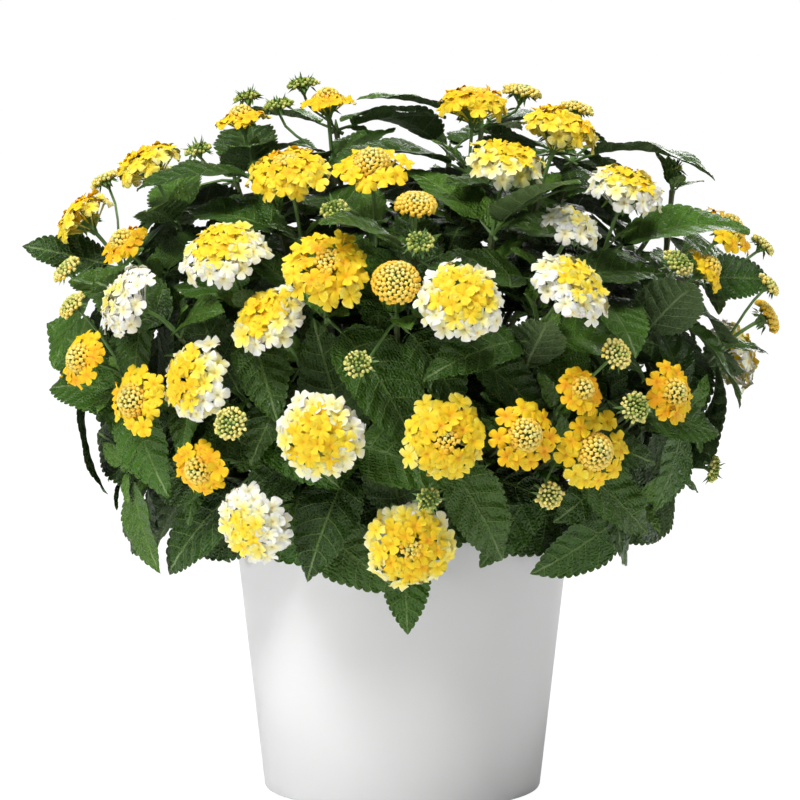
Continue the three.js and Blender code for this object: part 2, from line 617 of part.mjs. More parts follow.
// A shoot's three-sided stalk, from inside its main stem to its seat under the head. Its leaves and
// its bud cluster grow from the faces between two rings.
function shootSolid(shoot, grow) {
  const rings = [];
  const own = leaves.filter((leaf) => leaf.shoot === shoot);
  const hasLower = own.some((leaf) => leaf.step === 1);
  const ring = (centre, axis, radius, twist = 0) =>
    rings.push({ centre, axis, radius: radius + grow, twist }) - 1;
  const along = (t) => unit(sub(bezier(shoot.twig, Math.min(1, t + 0.05)), bezier(shoot.twig, t - 0.05)));
  const foot = hasLower ? PAIR_TWIST : 0;
  const pairAt = new Map();
  ring(add(shoot.twig[0], along(0.05), ROOT_NECK), along(0.05), TWIG.base, foot);
  if (hasLower) {
    const t = pairShare(shoot, 1);
    const middle = bezier(shoot.twig, t);
    pairAt.set(1, ring(add(middle, along(t), -TWIG.nodeHalf), along(t), TWIG.base, foot));
    ring(add(middle, along(t), TWIG.nodeHalf), along(t), TWIG.base, foot);
  } else if (shoot.span > TWIG.longSpan) ring(bezier(shoot.twig, 0.5), along(0.5), TWIG.base);
  pairAt.set(0, ring(add(shoot.node, shoot.axis, -TWIG.nodeHalf), shoot.axis, TWIG.node));
  ring(add(shoot.node, shoot.axis, TWIG.nodeHalf), shoot.axis, TWIG.node);
  if (shoot.head) ring(shoot.head.base, shoot.head.face, TWIG.tip);
  else ring(add(shoot.node, shoot.axis, LEAFY_END), shoot.axis, TWIG.end);

  const points = [];
  const triangles = [];
  for (const { centre, axis, radius, twist } of rings) {
    const side = unit(sub(shoot.side, scale(axis, dot(shoot.side, axis))));
    const down = cross(side, axis);
    for (let j = 0; j < 3; j++) {
      const a = radians(shoot.roll - 30 - twist + 120 * j);
      points.push(add(add(centre, side, Math.cos(a) * radius), down, Math.sin(a) * radius));
    }
  }
  for (let i = 0; i < rings.length - 1; i++)
    for (let j = 0; j < 3; j++) {
      const next = (j + 1) % 3;
      const [a, b, c, d] = [3 * i + j, 3 * i + next, 3 * i + 3 + next, 3 * i + 3 + j];
      const leaf = own.find((l) => pairAt.get(l.step) === i && l.side === j);
      const hasBud = shoot.bud && pairAt.get(0) === i && j === 2;
      if (leaf) growLeaf(leaf, { left: b, top: c, right: d, bottom: a }, points, triangles, grow);
      else if (hasBud) growBud(shoot.bud, [a, d, c, b], points, triangles, grow);
      else triangles.push([a, d, c], [a, c, b]);
    }
  const last = 3 * (rings.length - 1);
  triangles.push([last, last + 2, last + 1]);
  const root = points.push(shoot.twig[0]) - 1;
  for (let j = 0; j < 3; j++) triangles.push([root, j, (j + 1) % 3]);
  return geometryOf(points, triangles);
}

// Directions spread over a head: one on top, then rings of [how many, degrees down from the top].
function ringDirections(rings, turn) {
  const found = [[0, 0, 1]];
  rings.forEach(([count, polar], ring) => {
    for (let i = 0; i < count; i++) {
      const a = turn + ring * 0.6 + (2 * Math.PI * i) / count;
      const p = radians(polar);
      found.push([Math.sin(p) * Math.cos(a), Math.sin(p) * Math.sin(a), Math.cos(p)]);
    }
  });
  found.push([0, 0, -1]);
  return found;
}

// The cells round these directions: for each, its corner directions in order.
function cells(directions) {
  const hull = new ConvexHull().setFromPoints(directions.map((d) => new THREE.Vector3(...d)));
  const indexOf = (p) => directions.findIndex((d) => size(sub(d, [p.x, p.y, p.z])) < 1e-9);
  const corners = hull.faces.map((face) => ({
    at: unit([face.normal.x, face.normal.y, face.normal.z]),
    touches: [0, 1, 2].map((i) => indexOf(face.getEdge(i).head().point)),
  }));
  return directions.map((d, index) => {
    const u = unit(cross(Math.abs(d[2]) > 0.9 ? [1, 0, 0] : UP, d));
    const v = cross(d, u);
    const around = corners
      .map((c, id) => ({ id, ...c }))
      .filter((c) => c.touches.includes(index))
      .sort((a, b) => Math.atan2(dot(a.at, v), dot(a.at, u)) - Math.atan2(dot(b.at, v), dot(b.at, u)));
    return { centre: d, corners: around };
  });
}

// Adds the relief of a head or cluster to a mesh. Each open floret stands up from the shared
// corners of its cell with a lobe over every side and a dimple in its middle; each bud is a
// pointed knob. Below, the relief closes on a small flat seat, or on the stalk that rises from foot.
function growRelief({ base, middle, face, width }, style, points, triangles, foot) {
  const { rings, isOpen, heights, turn, seatWide } = style;
  const side = unit(cross(face, [0.31, 0.95, 0.07]));
  const third = cross(face, side);
  const radius = width / 2;
  const place = (d, k) => {
    const high = d[2] > 0 ? heights.up : heights.down;
    const local = [d[0] * radius * k, d[1] * radius * k, d[2] * radius * high * k];
    return add(add(add(middle, side, local[0]), third, local[1]), face, local[2]);
  };
  const list = cells(ringDirections(rings, turn));
  const push = (p) => points.push(p) - 1;
  const cornerIndex = new Map();
  list.forEach((cell) => cell.corners.forEach((c) => {
    if (!cornerIndex.has(c.id)) cornerIndex.set(c.id, push(place(c.at, heights.valley)));
  }));
  list.forEach((cell, index) => {
    const ring = cell.corners.map((c) => cornerIndex.get(c.id));
    const k = ring.length;
    if (index === list.length - 1) {
      const seat = [...Array(foot ? foot.length : 3).keys()].map((i, _, all) => {
        const a = turn + (2 * Math.PI * i) / all.length;
        return push(add(add(base, side, seatWide * Math.cos(a)), third, seatWide * Math.sin(a)));
      });
      bridge(points, ring, seat, face, base, triangles);
      if (foot) joinRings(points, foot, seat, triangles);
      else triangles.push([seat[0], seat[2], seat[1]]);
      return;
    }
    const open = isOpen(index);
    const hub = push(place(cell.centre, open ? heights.dimple : heights.knob));
    for (let i = 0; i < k; i++) {
      const [a, b] = [ring[i], ring[(i + 1) % k]];
      if (!open) {
        triangles.push([hub, a, b]);
        continue;
      }
      const over = unit(add(cell.corners[i].at, cell.corners[(i + 1) % k].at));
      const lobe = push(place(unit(add(over, cell.centre, heights.inset)), heights.lobe));
      triangles.push([hub, a, lobe], [hub, lobe, b], [lobe, a, b]);
    }
  });
}

// Joins a wide ring of corners to the corners of the seat below it.
function bridge(points, ring, seat, face, base, triangles) {
  const u = unit(cross(face, [0.31, 0.95, 0.07]));
  const v = cross(face, u);
  const angleOf = (i) => Math.atan2(dot(sub(points[i], base), v), dot(sub(points[i], base), u));
  const outer = ring.map((i) => ({ at: angleOf(i), i, isOuter: true }));
  const inner = seat.map((i) => ({ at: angleOf(i), i, isOuter: false }));
  const byAngle = (p, q) => p.at - q.at;
  let o = outer.sort(byAngle)[outer.length - 1].i;
  let n = inner.sort(byAngle)[inner.length - 1].i;
  for (const { i, isOuter } of [...outer, ...inner].sort(byAngle)) {
    triangles.push([o, n, i]);
    if (isOuter) o = i;
    else n = i;
  }
}

// Joins two rings of as many corners, turned so that the corners that lie nearest meet.
function joinRings(points, foot, seat, triangles) {
  const n = foot.length;
  const apart = (f, i) => size(sub(points[f], points[seat[i % n]]));
  const total = (shift) => foot.reduce((sum, f, i) => sum + apart(f, i + shift), 0);
  let best = 0;
  for (let shift = 1; shift < n; shift++) if (total(shift) < total(best)) best = shift;
  for (let i = 0; i < n; i++) {
    const [a, b] = [foot[i], foot[(i + 1) % n]];
    const [c, d] = [seat[(i + 1 + best) % n], seat[(i + best) % n]];
    triangles.push([a, b, c], [a, c, d]);
  }
}

// The form of a head's relief, as shares of its half width: how high it stands above and below its
// middle, and how far out the valleys, the hearts and lobes of florets and the knobs of buds lie.
const OPEN_HEAD = { up: 0.56, down: 0.32, valley: 0.82, dimple: 0.95, knob: 1.0, lobe: 1.1, inset: 0.14 };
const BUD_HEAD = { up: 0.72, down: 0.5, valley: 0.72, knob: 1.14 };

const SEAT_WIDE = 1.6;
const SMALL_HEAD = 26; // heads narrower than this have buds in their middle
const YOUNG = 0.3; // and so have heads that are younger than this
const LARGE_HEAD = 38; // heads at least this wide have one floret more in each ring
// Rings of florets or buds: [how many, degrees down from the top].
const HEAD_RINGS = [[4, 50], [5, 91]];
const LARGE_HEAD_RINGS = [[5, 46], [6, 90]];
const BUD_RING = [5, 74];

function headSolid(head, turn, grow) {
  const wide = { ...head, width: head.width + 2 * grow, base: add(head.base, head.face, SEAT_GAP - grow) };
  const rings = head.width < LARGE_HEAD ? HEAD_RINGS : LARGE_HEAD_RINGS;
  const hasBuds = head.width < SMALL_HEAD || head.age < YOUNG;
  const firstOpen = hasBuds ? 1 + rings[0][0] : 0;
  const isOpen = (index) => index >= firstOpen && head.age > 0;
  const points = [];
  const triangles = [];
  const style = { rings, isOpen, heights: OPEN_HEAD, turn, seatWide: SEAT_WIDE + grow };
  growRelief(wide, style, points, triangles, null);
  return geometryOf(points, triangles);
}

function growBud(bud, foot, points, triangles, grow) {
  const wide = { ...bud, width: bud.width + 2 * grow };
  const style = { rings: [BUD_RING], isOpen: () => false, heights: BUD_HEAD, turn: 0 };
  growRelief(wide, { ...style, seatWide: BUD_STALK.wide + grow }, points, triangles, foot);
}

// ---------------------------------------------------------------- pot and soil
// A closed turned solid from its profile of [radius, height] points.
function turned(profile, facets) {
  const outline = profile.map(([r, z]) => new THREE.Vector2(r, z));
  return new THREE.LatheGeometry(outline, facets).rotateX(Math.PI / 2);
}

function potGeometry(grow) {
  const lip = POT.height - POT.bevel;
  return turned([
    [0, -grow],
    [POT.baseRadius + grow, -grow],
    [potRadius(lip) + grow, lip],
    [POT.rimRadius - POT.bevel + grow, POT.height + grow],
    [POT.rimRadius - POT.wall - grow, POT.height + grow],
    [potRadius(POT.floor) - POT.wall - grow, POT.floor + grow],
    [0, POT.floor + grow],
  ], POT.facets);
}

function soilSolid() {
  const wall = (z) => potRadius(z) - POT.wall - 2 * SOIL.gap;
  const low = POT.floor + SOIL.gap;
  const body = turned([
    [0, low], [wall(low), low], [wall(SOIL.top), SOIL.top], [0, SOIL.top + SOIL.crown],
  ], POT.facets / 2);
  const holes = stems.map((stem) => {
    const wide = MAIN.base + HOLE.clearance;
    const bottom = [stem.foot[0], stem.foot[1], SOIL.top - HOLE.depth];
    return solidOf(tube([bottom, add(stem.foot, UP, 5)], [wide, wide], MAIN.sides));
  });
  return solidOf(body).subtract(wasm.Manifold.union(holes));
}

// ---------------------------------------------------------------- pieces, node by node
const parts = new Map(); // node name to its list of {solid, grown}
const addPiece = (node, make) => {
  if (!parts.has(node)) parts.set(node, []);
  parts.get(node).push({ solid: solidOf(make(0)), grown: () => solidOf(make(CUT_GAP)) });
};
addPiece("pot", potGeometry);
const stemName = (i) => "leafy_stem_" + String(i + 1).padStart(2, "0");
const HEAD_TURN = 2.4; // radians from one head's rings to the next one's

blooms.forEach((shoot, i) => {
  const name = "flower_head_" + String(i + 1).padStart(2, "0");
  addPiece(name, (grow) => headSolid(shoot.head, i * HEAD_TURN, grow));
});

stems.forEach((stem, i) => {
  const bottom = [stem.foot[0], stem.foot[1], SOIL.top - HOLE.depth + SEAT_GAP];
  const centres = [bottom, stem.foot, ...stem.knees];
  const radii = [0, 0, ...MAIN_KNEES].map((t) => MAIN.base + (MAIN.tip - MAIN.base) * t);
  addPiece(stemName(i), (grow) => tube(centres, radii, MAIN.sides, grow));
});

shoots.forEach((shoot) => addPiece(stemName(shoot.stem), (grow) => shootSolid(shoot, grow)));

function boxesMeet(a, b, gap) {
  const [p, q] = [a.boundingBox(), b.boundingBox()];
  return [0, 1, 2].every((k) => p.min[k] < q.max[k] + gap && q.min[k] < p.max[k] + gap);
}

const LEAST_OVERLAP = 1e-4; // cubic millimetres
const largestBody = (solid) => solid.decompose().sort((a, b) => b.volume() - a.volume())[0];

// Joins each node's pieces, cut clear of the nodes that come before it, and keeps the largest body.
const solids = new Map();
const names = [...parts.keys()];
names.forEach((name, index) => {
  let joined = wasm.Manifold.union(parts.get(name).map((p) => p.solid));
  const cutters = [];
  for (const earlier of names.slice(0, index)) {
    if (!boxesMeet(solids.get(earlier), joined, CUT_GAP)) continue;
    for (const piece of parts.get(earlier)) {
      if (!boxesMeet(piece.solid, joined, CUT_GAP)) continue;
      if (piece.solid.intersect(joined).volume() > LEAST_OVERLAP) cutters.push(piece.grown(), piece.solid);
    }
  }
  if (cutters.length) joined = joined.subtract(wasm.Manifold.union(cutters));
  let body = largestBody(joined);
  for (let round = 0; round < WELD_ROUNDS; round++) body = largestBody(solidOf(geometryFrom(body)));
  solids.set(name, body);
});

// ---------------------------------------------------------------- the scene graph
const COLOURS = {
  pot: ["#f2f2f0", 0.35],
  soil: ["#3a2a1e", 0.95],
  leafy: ["#2f5a27", 0.6],
  yellow: ["#fbc51e", 0.6],
  lemon: ["#f7dc5a", 0.6],
  cream: ["#f4efcf", 0.6],
};

function material([color, roughness]) {
  return new THREE.MeshStandardMaterial({ color, roughness, metalness: 0 });
}

function petalColour(age) {
  if (age < 0.55) return COLOURS.yellow;
  return age < 0.9 ? COLOURS.lemon : COLOURS.cream;
}

const lantana = new THREE.Group();
function addMesh(name, geometry, colour) {
  const mesh = new THREE.Mesh(geometry, material(colour));
  mesh.name = name;
  lantana.add(mesh);
}

for (const [name, solid] of solids) {
  const bloom = name.startsWith("flower_head_") ? blooms[Number(name.slice(-2)) - 1] : null;
  const colour = name === "pot" ? COLOURS.pot : COLOURS.leafy;
  addMesh(name, geometryFrom(solid), bloom ? petalColour(bloom.head.age) : colour);
}
addMesh("soil", geometryFrom(soilSolid()), COLOURS.soil);

export default lantana;
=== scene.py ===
"""A lantana in bloom in its white pot: finer leaves, florets, buds and stalks laid over the solids."""
import math

import bpy
import numpy as np
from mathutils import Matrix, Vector


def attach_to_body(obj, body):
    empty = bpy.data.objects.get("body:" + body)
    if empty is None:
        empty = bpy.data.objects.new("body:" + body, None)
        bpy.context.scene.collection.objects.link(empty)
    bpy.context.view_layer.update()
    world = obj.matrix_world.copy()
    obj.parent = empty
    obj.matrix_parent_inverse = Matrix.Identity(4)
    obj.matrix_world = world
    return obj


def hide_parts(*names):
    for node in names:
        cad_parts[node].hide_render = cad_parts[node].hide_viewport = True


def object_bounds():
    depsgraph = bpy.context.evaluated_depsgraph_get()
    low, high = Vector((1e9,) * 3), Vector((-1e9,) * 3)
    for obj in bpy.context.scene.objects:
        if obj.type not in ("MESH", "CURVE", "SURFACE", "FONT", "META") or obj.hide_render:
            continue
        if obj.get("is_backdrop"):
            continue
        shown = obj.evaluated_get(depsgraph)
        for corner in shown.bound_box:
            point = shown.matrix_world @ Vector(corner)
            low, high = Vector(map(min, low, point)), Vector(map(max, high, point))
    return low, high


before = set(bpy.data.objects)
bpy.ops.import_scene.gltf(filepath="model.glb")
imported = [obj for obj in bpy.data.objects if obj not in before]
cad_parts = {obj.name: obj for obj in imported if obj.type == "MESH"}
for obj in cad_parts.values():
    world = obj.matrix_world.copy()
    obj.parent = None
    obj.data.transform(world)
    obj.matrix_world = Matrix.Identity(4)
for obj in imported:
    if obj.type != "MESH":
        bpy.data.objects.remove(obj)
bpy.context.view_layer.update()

# ---------------------------------------------------------------- camera
TARGET = np.array([-1.2, 0.0, 192.0]) * 0.001
DISTANCE = 1.7
ELEVATION = math.radians(5)
PICTURE = 800
PIXELS_A_UNIT = 3437  # how many pixels a width equal to its distance spans

camera_data = bpy.data.cameras.new("camera")
camera_data.sensor_width = 36
camera_data.lens = PIXELS_A_UNIT / PICTURE * camera_data.sensor_width
camera_data.clip_start, camera_data.clip_end = 0.1, 60
camera = bpy.data.objects.new("camera", camera_data)
camera.location = TARGET + DISTANCE * np.array([0, -math.cos(ELEVATION), math.sin(ELEVATION)])
camera.rotation_euler = (math.pi / 2 - ELEVATION, 0, 0)
bpy.context.scene.collection.objects.link(camera)
bpy.context.scene.camera = camera
bpy.context.scene.view_settings.view_transform = "Standard"

# ---------------------------------------------------------------- the plan of the plant, in millimetres
# These are the same rules and named values as in part.mjs, so each piece lies where its solid lies.
POT = {"height": 150, "rim": 85.3, "base": 68.5, "wall": 3, "floor": 4}
SOIL = {"top": 136, "crown": 3, "gap": 0.3}
MOUND = {"middle": 212, "wide": 178, "deep": 160, "high": 132, "low": 126}
CROWN = np.array([0.0, 0.0, 118.0])
UP = np.array([0.0, 0.0, 1.0])
MAIN = {"reach": 98, "base": 3.4, "tip": 2.4, "foot_rise": 1.5, "foot_arm": 26, "end_arm": 34}
LAST_BRANCH = 0.93
MAIN_KNEES = [0.28, 0.52, 0.78, 1]
PAIR_SPACING = 21
LEAF = {"fold": 0.2, "petiole": 0.17, "stalk_gap": 1.2, "leaf_gap": 2, "head_gap": 3, "pot_gap": 4}
BLADE = {"length": 58, "width": 0.54, "curl": 42, "tilt": 24}
BLADE_SPREAD = {"length": 0.32, "width": 0.16, "curl": 44, "tilt": 30}
HANG = {"least": 112, "longest": 90, "beside": 16}
FLARE = {"wide": 140, "from": 110, "slope": 0.4, "most": 192}
LOW_SHOOT = 185
PEDUNCLE = {"along_head": 11, "along_shoot": 11, "arm": 8}
HEAD = {"lift": 0.22, "seat": 0.32}  # how far it turns up, and how far below its middle its base is
AXIS = {"slope": 0.55, "up": 0.5, "face": 0.25}  # what the direction of a head's shoot is made of
SEED = 39
RIM = {"beside": 10, "above": 7, "over": 6, "lift": 11}
BUD_STALK_LENGTH = 18

STEM_DIRECTIONS = [(-90 + 45 * i, 24, 27) for i in range(8)]
STEM_DIRECTIONS += [(-135 + 90 * i, 60, 11) for i in range(4)]

# Flower heads on the viewer's side: x, y, z of the middle, width, age from 0 (buds with a ring of
# open florets) to 1 (all open, the rim faded white), how far the face turns from the mound's own
# slope (sideways, up), and the roll of the upper leaf pair in degrees.
FRONT_HEADS = [
    (-123, -25, 308, 32, 0.5, -0.2, 0.1, 20),
    (-156, -14, 282, 30, 0.5, -0.2, 0.0, 60),
    (-78, -20, 331, 25, 0.2, 0.0, 0.6, 10),
    (-36, -38, 339, 26, 0.2, 0.0, 0.8, 80),
    (34, -46, 337, 33, 0.4, 0.0, 0.8, 30),
    (-52, -109, 305, 37, 0.45, 0.0, 0.35, 0),
    (-14, -114, 309, 35, 0.35, 0.0, 0.1, 50),
    (75, -60, 325, 37, 0.5, 0.3, 0.25, 15),
    (47, -106, 309, 36, 0.7, 0.1, 0.7, 70),
    (104, -85, 297, 36, 0.8, 0.05, 0.55, 40),
    (78, -112, 281, 27, 0.95, 0.4, 0.5, 10),
    (76, -140, 255, 38, 0.85, 0.35, 0.3, 0),
    (-81, -128, 270, 39, 0.8, 0.0, 0.35, 20),
    (-34, -147, 263, 37, 0.45, 0.25, 0.05, 60),
    (-127, -108, 247, 34, 1.0, -0.35, -0.1, 0),
    (26, -155, 250, 39, 0.8, 0.0, 0.05, 30),
    (-60, -138, 240, 35, 0.75, -0.3, 0.35, 80),
    (-3, -152, 258, 21, 0.0, 0.0, 0.0, 45),
    (6, -128, 292, 18, 0.0, 0.0, 0.5, 0),
    (-131, -78, 273, 24, 0.1, 0.0, 0.1, 70),
    (-150, -88, 219, 29, 0.15, 0.05, 0.0, 50),
    (-124, -104, 201, 33, 0.35, 0.0, 0.0, 0),
    (-94, -131, 212, 37, 0.75, -0.3, 0.0, 30),
    (-37, -153, 189, 39, 0.75, 0.0, 0.0, 15),
    (-68, -126, 146, 38, 0.9, -0.15, 0.1, 60),
    (-93, -124, 171, 27, 0.15, 0.0, 0.0, 20),
    (3, -133, 138, 40, 0.6, 0.05, 0.3, 88),
    (19, -154, 188, 37, 0.5, 0.0, 0.1, 75),
    (55, -148, 189, 32, 0.25, 0.0, 0.1, 0),
    (87, -132, 180, 36, 0.35, 0.0, 0.1, 40),
    (81, -141, 209, 22, 0.05, 0.0, 0.2, 90),
    (124, -114, 205, 28, 0.1, 0.0, 0.1, 30),
    (158, -22, 277, 30, 0.2, -0.3, 0.0, 10),
    (143, -80, 261, 24, 0.2, 0.3, 0.0, 60),
    (178, -14, 234, 17, 0.0, 0.1, 0.1, 30),
]
# Flower heads on the far side, in rows: height, how many, first azimuth, last azimuth.
BACK_ROWS = [(158, 3, 42, 144), (208, 4, 18, 160), (262, 2, 60, 118), (312, 2, 62, 118)]
BACK_WIDTH = (31, 38)
# Bud clusters on the viewer's side: x, y, z, width, and ripeness from 0 (green) to 1 (yellow).
FRONT_BUDS = [
    (-147, 8, 300, 14, 0.5), (-160, -51, 259, 15, 0.5), (-156, -70, 243, 14, 0.5),
    (-76, 0, 341, 12, 0.0), (-60, -30, 337, 14, 0.15), (-49, 4, 347, 15, 0.1),
    (-97, -60, 316, 12, 0.1), (-31, -128, 290, 12, 0.2), (58, -8, 343, 18, 0.6),
    (85, -10, 335, 16, 0.6), (178, -26, 250, 12, 0.5), (106, -132, 200, 14, 0.3),
    (67, -136, 160, 12, 0.5), (-78, -146, 194, 15, 0.4), (97, -136, 225, 14, 0.5),
    (12, -146, 160, 10, 0.2), (8, -146, 276, 12, 0.1), (-20, -159, 222, 12, 0.3),
    (150, -40, 162, 12, 0.2), (178, 6, 268, 13, 0.4), (128, -96, 264, 15, 0.3),
]
BACK_BUDS = {"count": 5, "first": 25, "last": 155, "low": 190, "high": 325, "width": 14}
LEAFY_TIPS = {
    "candidates": 150, "top": 340, "bottom": 150, "skirt": 175,
    "share": 0.93, "turn": 137.5, "inset": 14, "spacing": 42, "skirt_length": 1.08,
}


def unit(a):
    return a / math.sqrt(a @ a)


def size(a):
    return math.sqrt(a @ a)


class Generator:
    """Park and Miller's generator, which gives the same run in any language."""

    def __init__(self, seed):
        self.state = seed

    def __call__(self):
        self.state = (self.state * 16807) % 2147483647
        return self.state / 2147483647


def bezier(path, t):
    s = 1 - t
    return path[0] * s**3 + path[1] * (3 * s * s * t) + path[2] * (3 * s * t * t) + path[3] * t**3


def direction(azimuth, elevation):
    a, e = math.radians(azimuth), math.radians(elevation)
    return np.array([math.cos(a) * math.cos(e), math.sin(a) * math.cos(e), math.sin(e)])


def mound_normal(p):
    half = MOUND["high"] if p[2] > MOUND["middle"] else MOUND["low"]
    slope = [p[0] / MOUND["wide"] ** 2, p[1] / MOUND["deep"] ** 2, (p[2] - MOUND["middle"]) / half**2]
    return unit(np.array(slope))


def on_mound(azimuth, z, share):
    """The point of the mound at an azimuth and height, drawn in towards its axis by a share."""
    half = MOUND["high"] if z > MOUND["middle"] else MOUND["low"]
    ring = math.sqrt(max(0.03, 1 - ((z - MOUND["middle"]) / half) ** 2)) * share
    a = math.radians(azimuth)
    return np.array([MOUND["wide"] * ring * math.cos(a), MOUND["deep"] * ring * math.sin(a), z])


class Main:
    """A main stem, from the soil to its last knee."""

    def __init__(self, azimuth, elevation, radius):
        self.out = direction(azimuth, elevation)
        soil = np.array([0.0, 0.0, SOIL["top"] + SOIL["crown"] + MAIN["foot_rise"]])
        self.foot = soil + direction(azimuth, 0) * radius
        end = CROWN + self.out * MAIN["reach"]
        rise = np.array([self.out[0] * 0.5, self.out[1] * 0.5, 0.9])
        self.path = [self.foot, self.foot + rise * MAIN["foot_arm"], end - self.out * MAIN["end_arm"], end]
        self.knees = [bezier(self.path, t) for t in MAIN_KNEES]

    def branch_point(self, share):
        """A point a share of the way between the second knee and the end."""
        steps = len(self.knees) - 2
        step = min(steps, 1 + math.floor(share * steps))
        return self.knees[step] + (self.knees[step + 1] - self.knees[step]) * (share * steps - (step - 1))


mains = [Main(*row) for row in STEM_DIRECTIONS]


def nearest_stem(p):
    out = unit(p - CROWN)
    return int(np.argmax([main.out @ out for main in mains]))


def past_rim(p):
    """Moves a point that would lie in the pot's rim outwards, past it."""
    out = math.hypot(p[0], p[1])
    least = POT["rim"] + RIM["beside"]
    if p[2] > POT["height"] + RIM["above"] or out > least:
        return p
    return np.array([p[0] * least / out, p[1] * least / out, p[2]])


def over_rim(p):
    """Lifts a point that would lie in the pot's rim over it."""
    if math.hypot(p[0], p[1]) > POT["rim"] + RIM["over"]:
        return p
    return np.array([p[0], p[1], max(p[2], POT["height"] + RIM["lift"])])


class Shoot:
    """A side shoot: its uppermost leaf node with its axis, and what it carries."""

    def __init__(self, head, node, axis, roll, draw):
        around = unit(np.cross(UP, [node[0], node[1], 0.0]))
        self.down = unit(np.cross(around, axis))
        self.side = np.cross(axis, self.down)
        self.head, self.node, self.axis, self.roll = head, node, axis, roll
        self.draws = [draw() for _ in range(8)]
        self.stem = nearest_stem(node)
        self.bud = None
        self.length = 1


def head_shoot(row, draw):
    x, y, z, width, age, sideways, upwards, roll = row
    middle = np.array([x, y, z], float)
    slope = mound_normal(middle)
    side = unit(np.cross(UP, [x, y, 0.0]))
    face = unit(slope + UP * HEAD["lift"] + side * sideways + UP * upwards)
    axis = unit(slope * AXIS["slope"] + UP * AXIS["up"] + face * AXIS["face"])
    base = middle + face * (-width * HEAD["seat"])
    node = past_rim(base - face * PEDUNCLE["along_head"] - axis * PEDUNCLE["along_shoot"])
    head = {"middle": middle, "face": face, "width": width, "age": age, "base": base}
    shoot = Shoot(head, node, axis, roll, draw)
    arm = PEDUNCLE["arm"]
    shoot.peduncle = [node, node + axis * arm, base - face * arm, base]
    return shoot


draw = Generator(SEED)
blooms = [head_shoot(row, draw) for row in FRONT_HEADS]
for row_z, row_count, first, last in BACK_ROWS:
    for i in range(row_count):
        azimuth = first + (last - first) * i / (row_count - 1) + 8 * (draw() - 0.5)
        at = on_mound(azimuth, row_z + 14 * (draw() - 0.5), 0.99)
        width = BACK_WIDTH[0] + (BACK_WIDTH[1] - BACK_WIDTH[0]) * draw()
        age = 0.1 + 0.85 * draw()
        blooms.append(head_shoot((*at, width, age, 0, 0.1, 180 * draw()), draw))

leafy_tips = []
for i in range(LEAFY_TIPS["candidates"]):
    z = LEAFY_TIPS["top"] + (LEAFY_TIPS["bottom"] - LEAFY_TIPS["top"]) * i / (LEAFY_TIPS["candidates"] - 1)
    at = on_mound(LEAFY_TIPS["turn"] * i, z, LEAFY_TIPS["share"])
    in_skirt = z < LEAFY_TIPS["skirt"]
    axis = unit(mound_normal(at) + UP * (0.75 if in_skirt else 0.5))
    node = past_rim(at - axis * LEAFY_TIPS["inset"])
    if any(size(s.node - node) < LEAFY_TIPS["spacing"] for s in blooms + leafy_tips):
        continue
    tip = Shoot(None, node, axis, 90 + 60 * (draw() - 0.5), draw)
    tip.length = LEAFY_TIPS["skirt_length"] if in_skirt else 1
    leafy_tips.append(tip)

# The shoots of one stem leave it at even steps, the ones most in line with it last.
shoots = blooms + leafy_tips
for index, main in enumerate(mains):
    own = sorted((s for s in shoots if s.stem == index), key=lambda s: unit(s.node - CROWN) @ main.out)
    for rank, s in enumerate(own):
        attach = main.branch_point(LAST_BRANCH * (rank + 1) / len(own))
        s.span = size(s.node - attach)
        start = unit(unit(s.node - attach) + main.out * 0.3)
        bend = over_rim(s.node - s.axis * (s.span * 0.34))
        s.twig = [attach, attach + start * (s.span * 0.3), bend, s.node]


def bud_stalk(x, y, z, width, ripe):
    """A bud cluster on the leaf node of the nearest shoot that has none yet. The shoot is turned
    so that the free face of its stalk looks towards the cluster."""
    middle = np.array([x, y, z], float)
    face = unit(mound_normal(middle) + UP * 0.45)
    base = middle - face * (width * 0.3)
    wanted = base - face * BUD_STALK_LENGTH
    host = min((s for s in shoots if not s.bud), key=lambda s: size(s.node - wanted))
    to_bud = base - host.node
    a = math.radians(host.roll - 90)
    if (to_bud @ host.side) * math.cos(a) + (to_bud @ host.down) * math.sin(a) < 0:
        host.roll += 180
    arm = size(to_bud) * 0.3
    start = unit(unit(to_bud) + host.axis * 0.5)
    path = [host.node, host.node + start * arm, base - face * arm, base]
    host.bud = {"middle": middle, "face": face, "width": width, "base": base, "path": path, "ripe": ripe}
    return host.bud


buds = [bud_stalk(*row) for row in FRONT_BUDS]
for i in range(BACK_BUDS["count"]):
    azimuth = BACK_BUDS["first"] + (BACK_BUDS["last"] - BACK_BUDS["first"]) * i / (BACK_BUDS["count"] - 1)
    at = on_mound(azimuth, BACK_BUDS["low"] + (BACK_BUDS["high"] - BACK_BUDS["low"]) * draw(), 1.02)
    reach = BACK_BUDS["width"]
    if all(size(s.head["middle"] - at) > s.head["width"] / 2 + reach for s in blooms):
        buds.append(bud_stalk(*at, BACK_BUDS["width"], 0.35))


# ---------------------------------------------------------------- where the leaves lie
def blade_half(t):
    """Half the width of the blade, as a share of its width, at a share t of its length."""
    t = np.clip(t, 0, 1)
    return 0.5 * t**0.55 * (1 - t) ** 0.95 / 0.3732


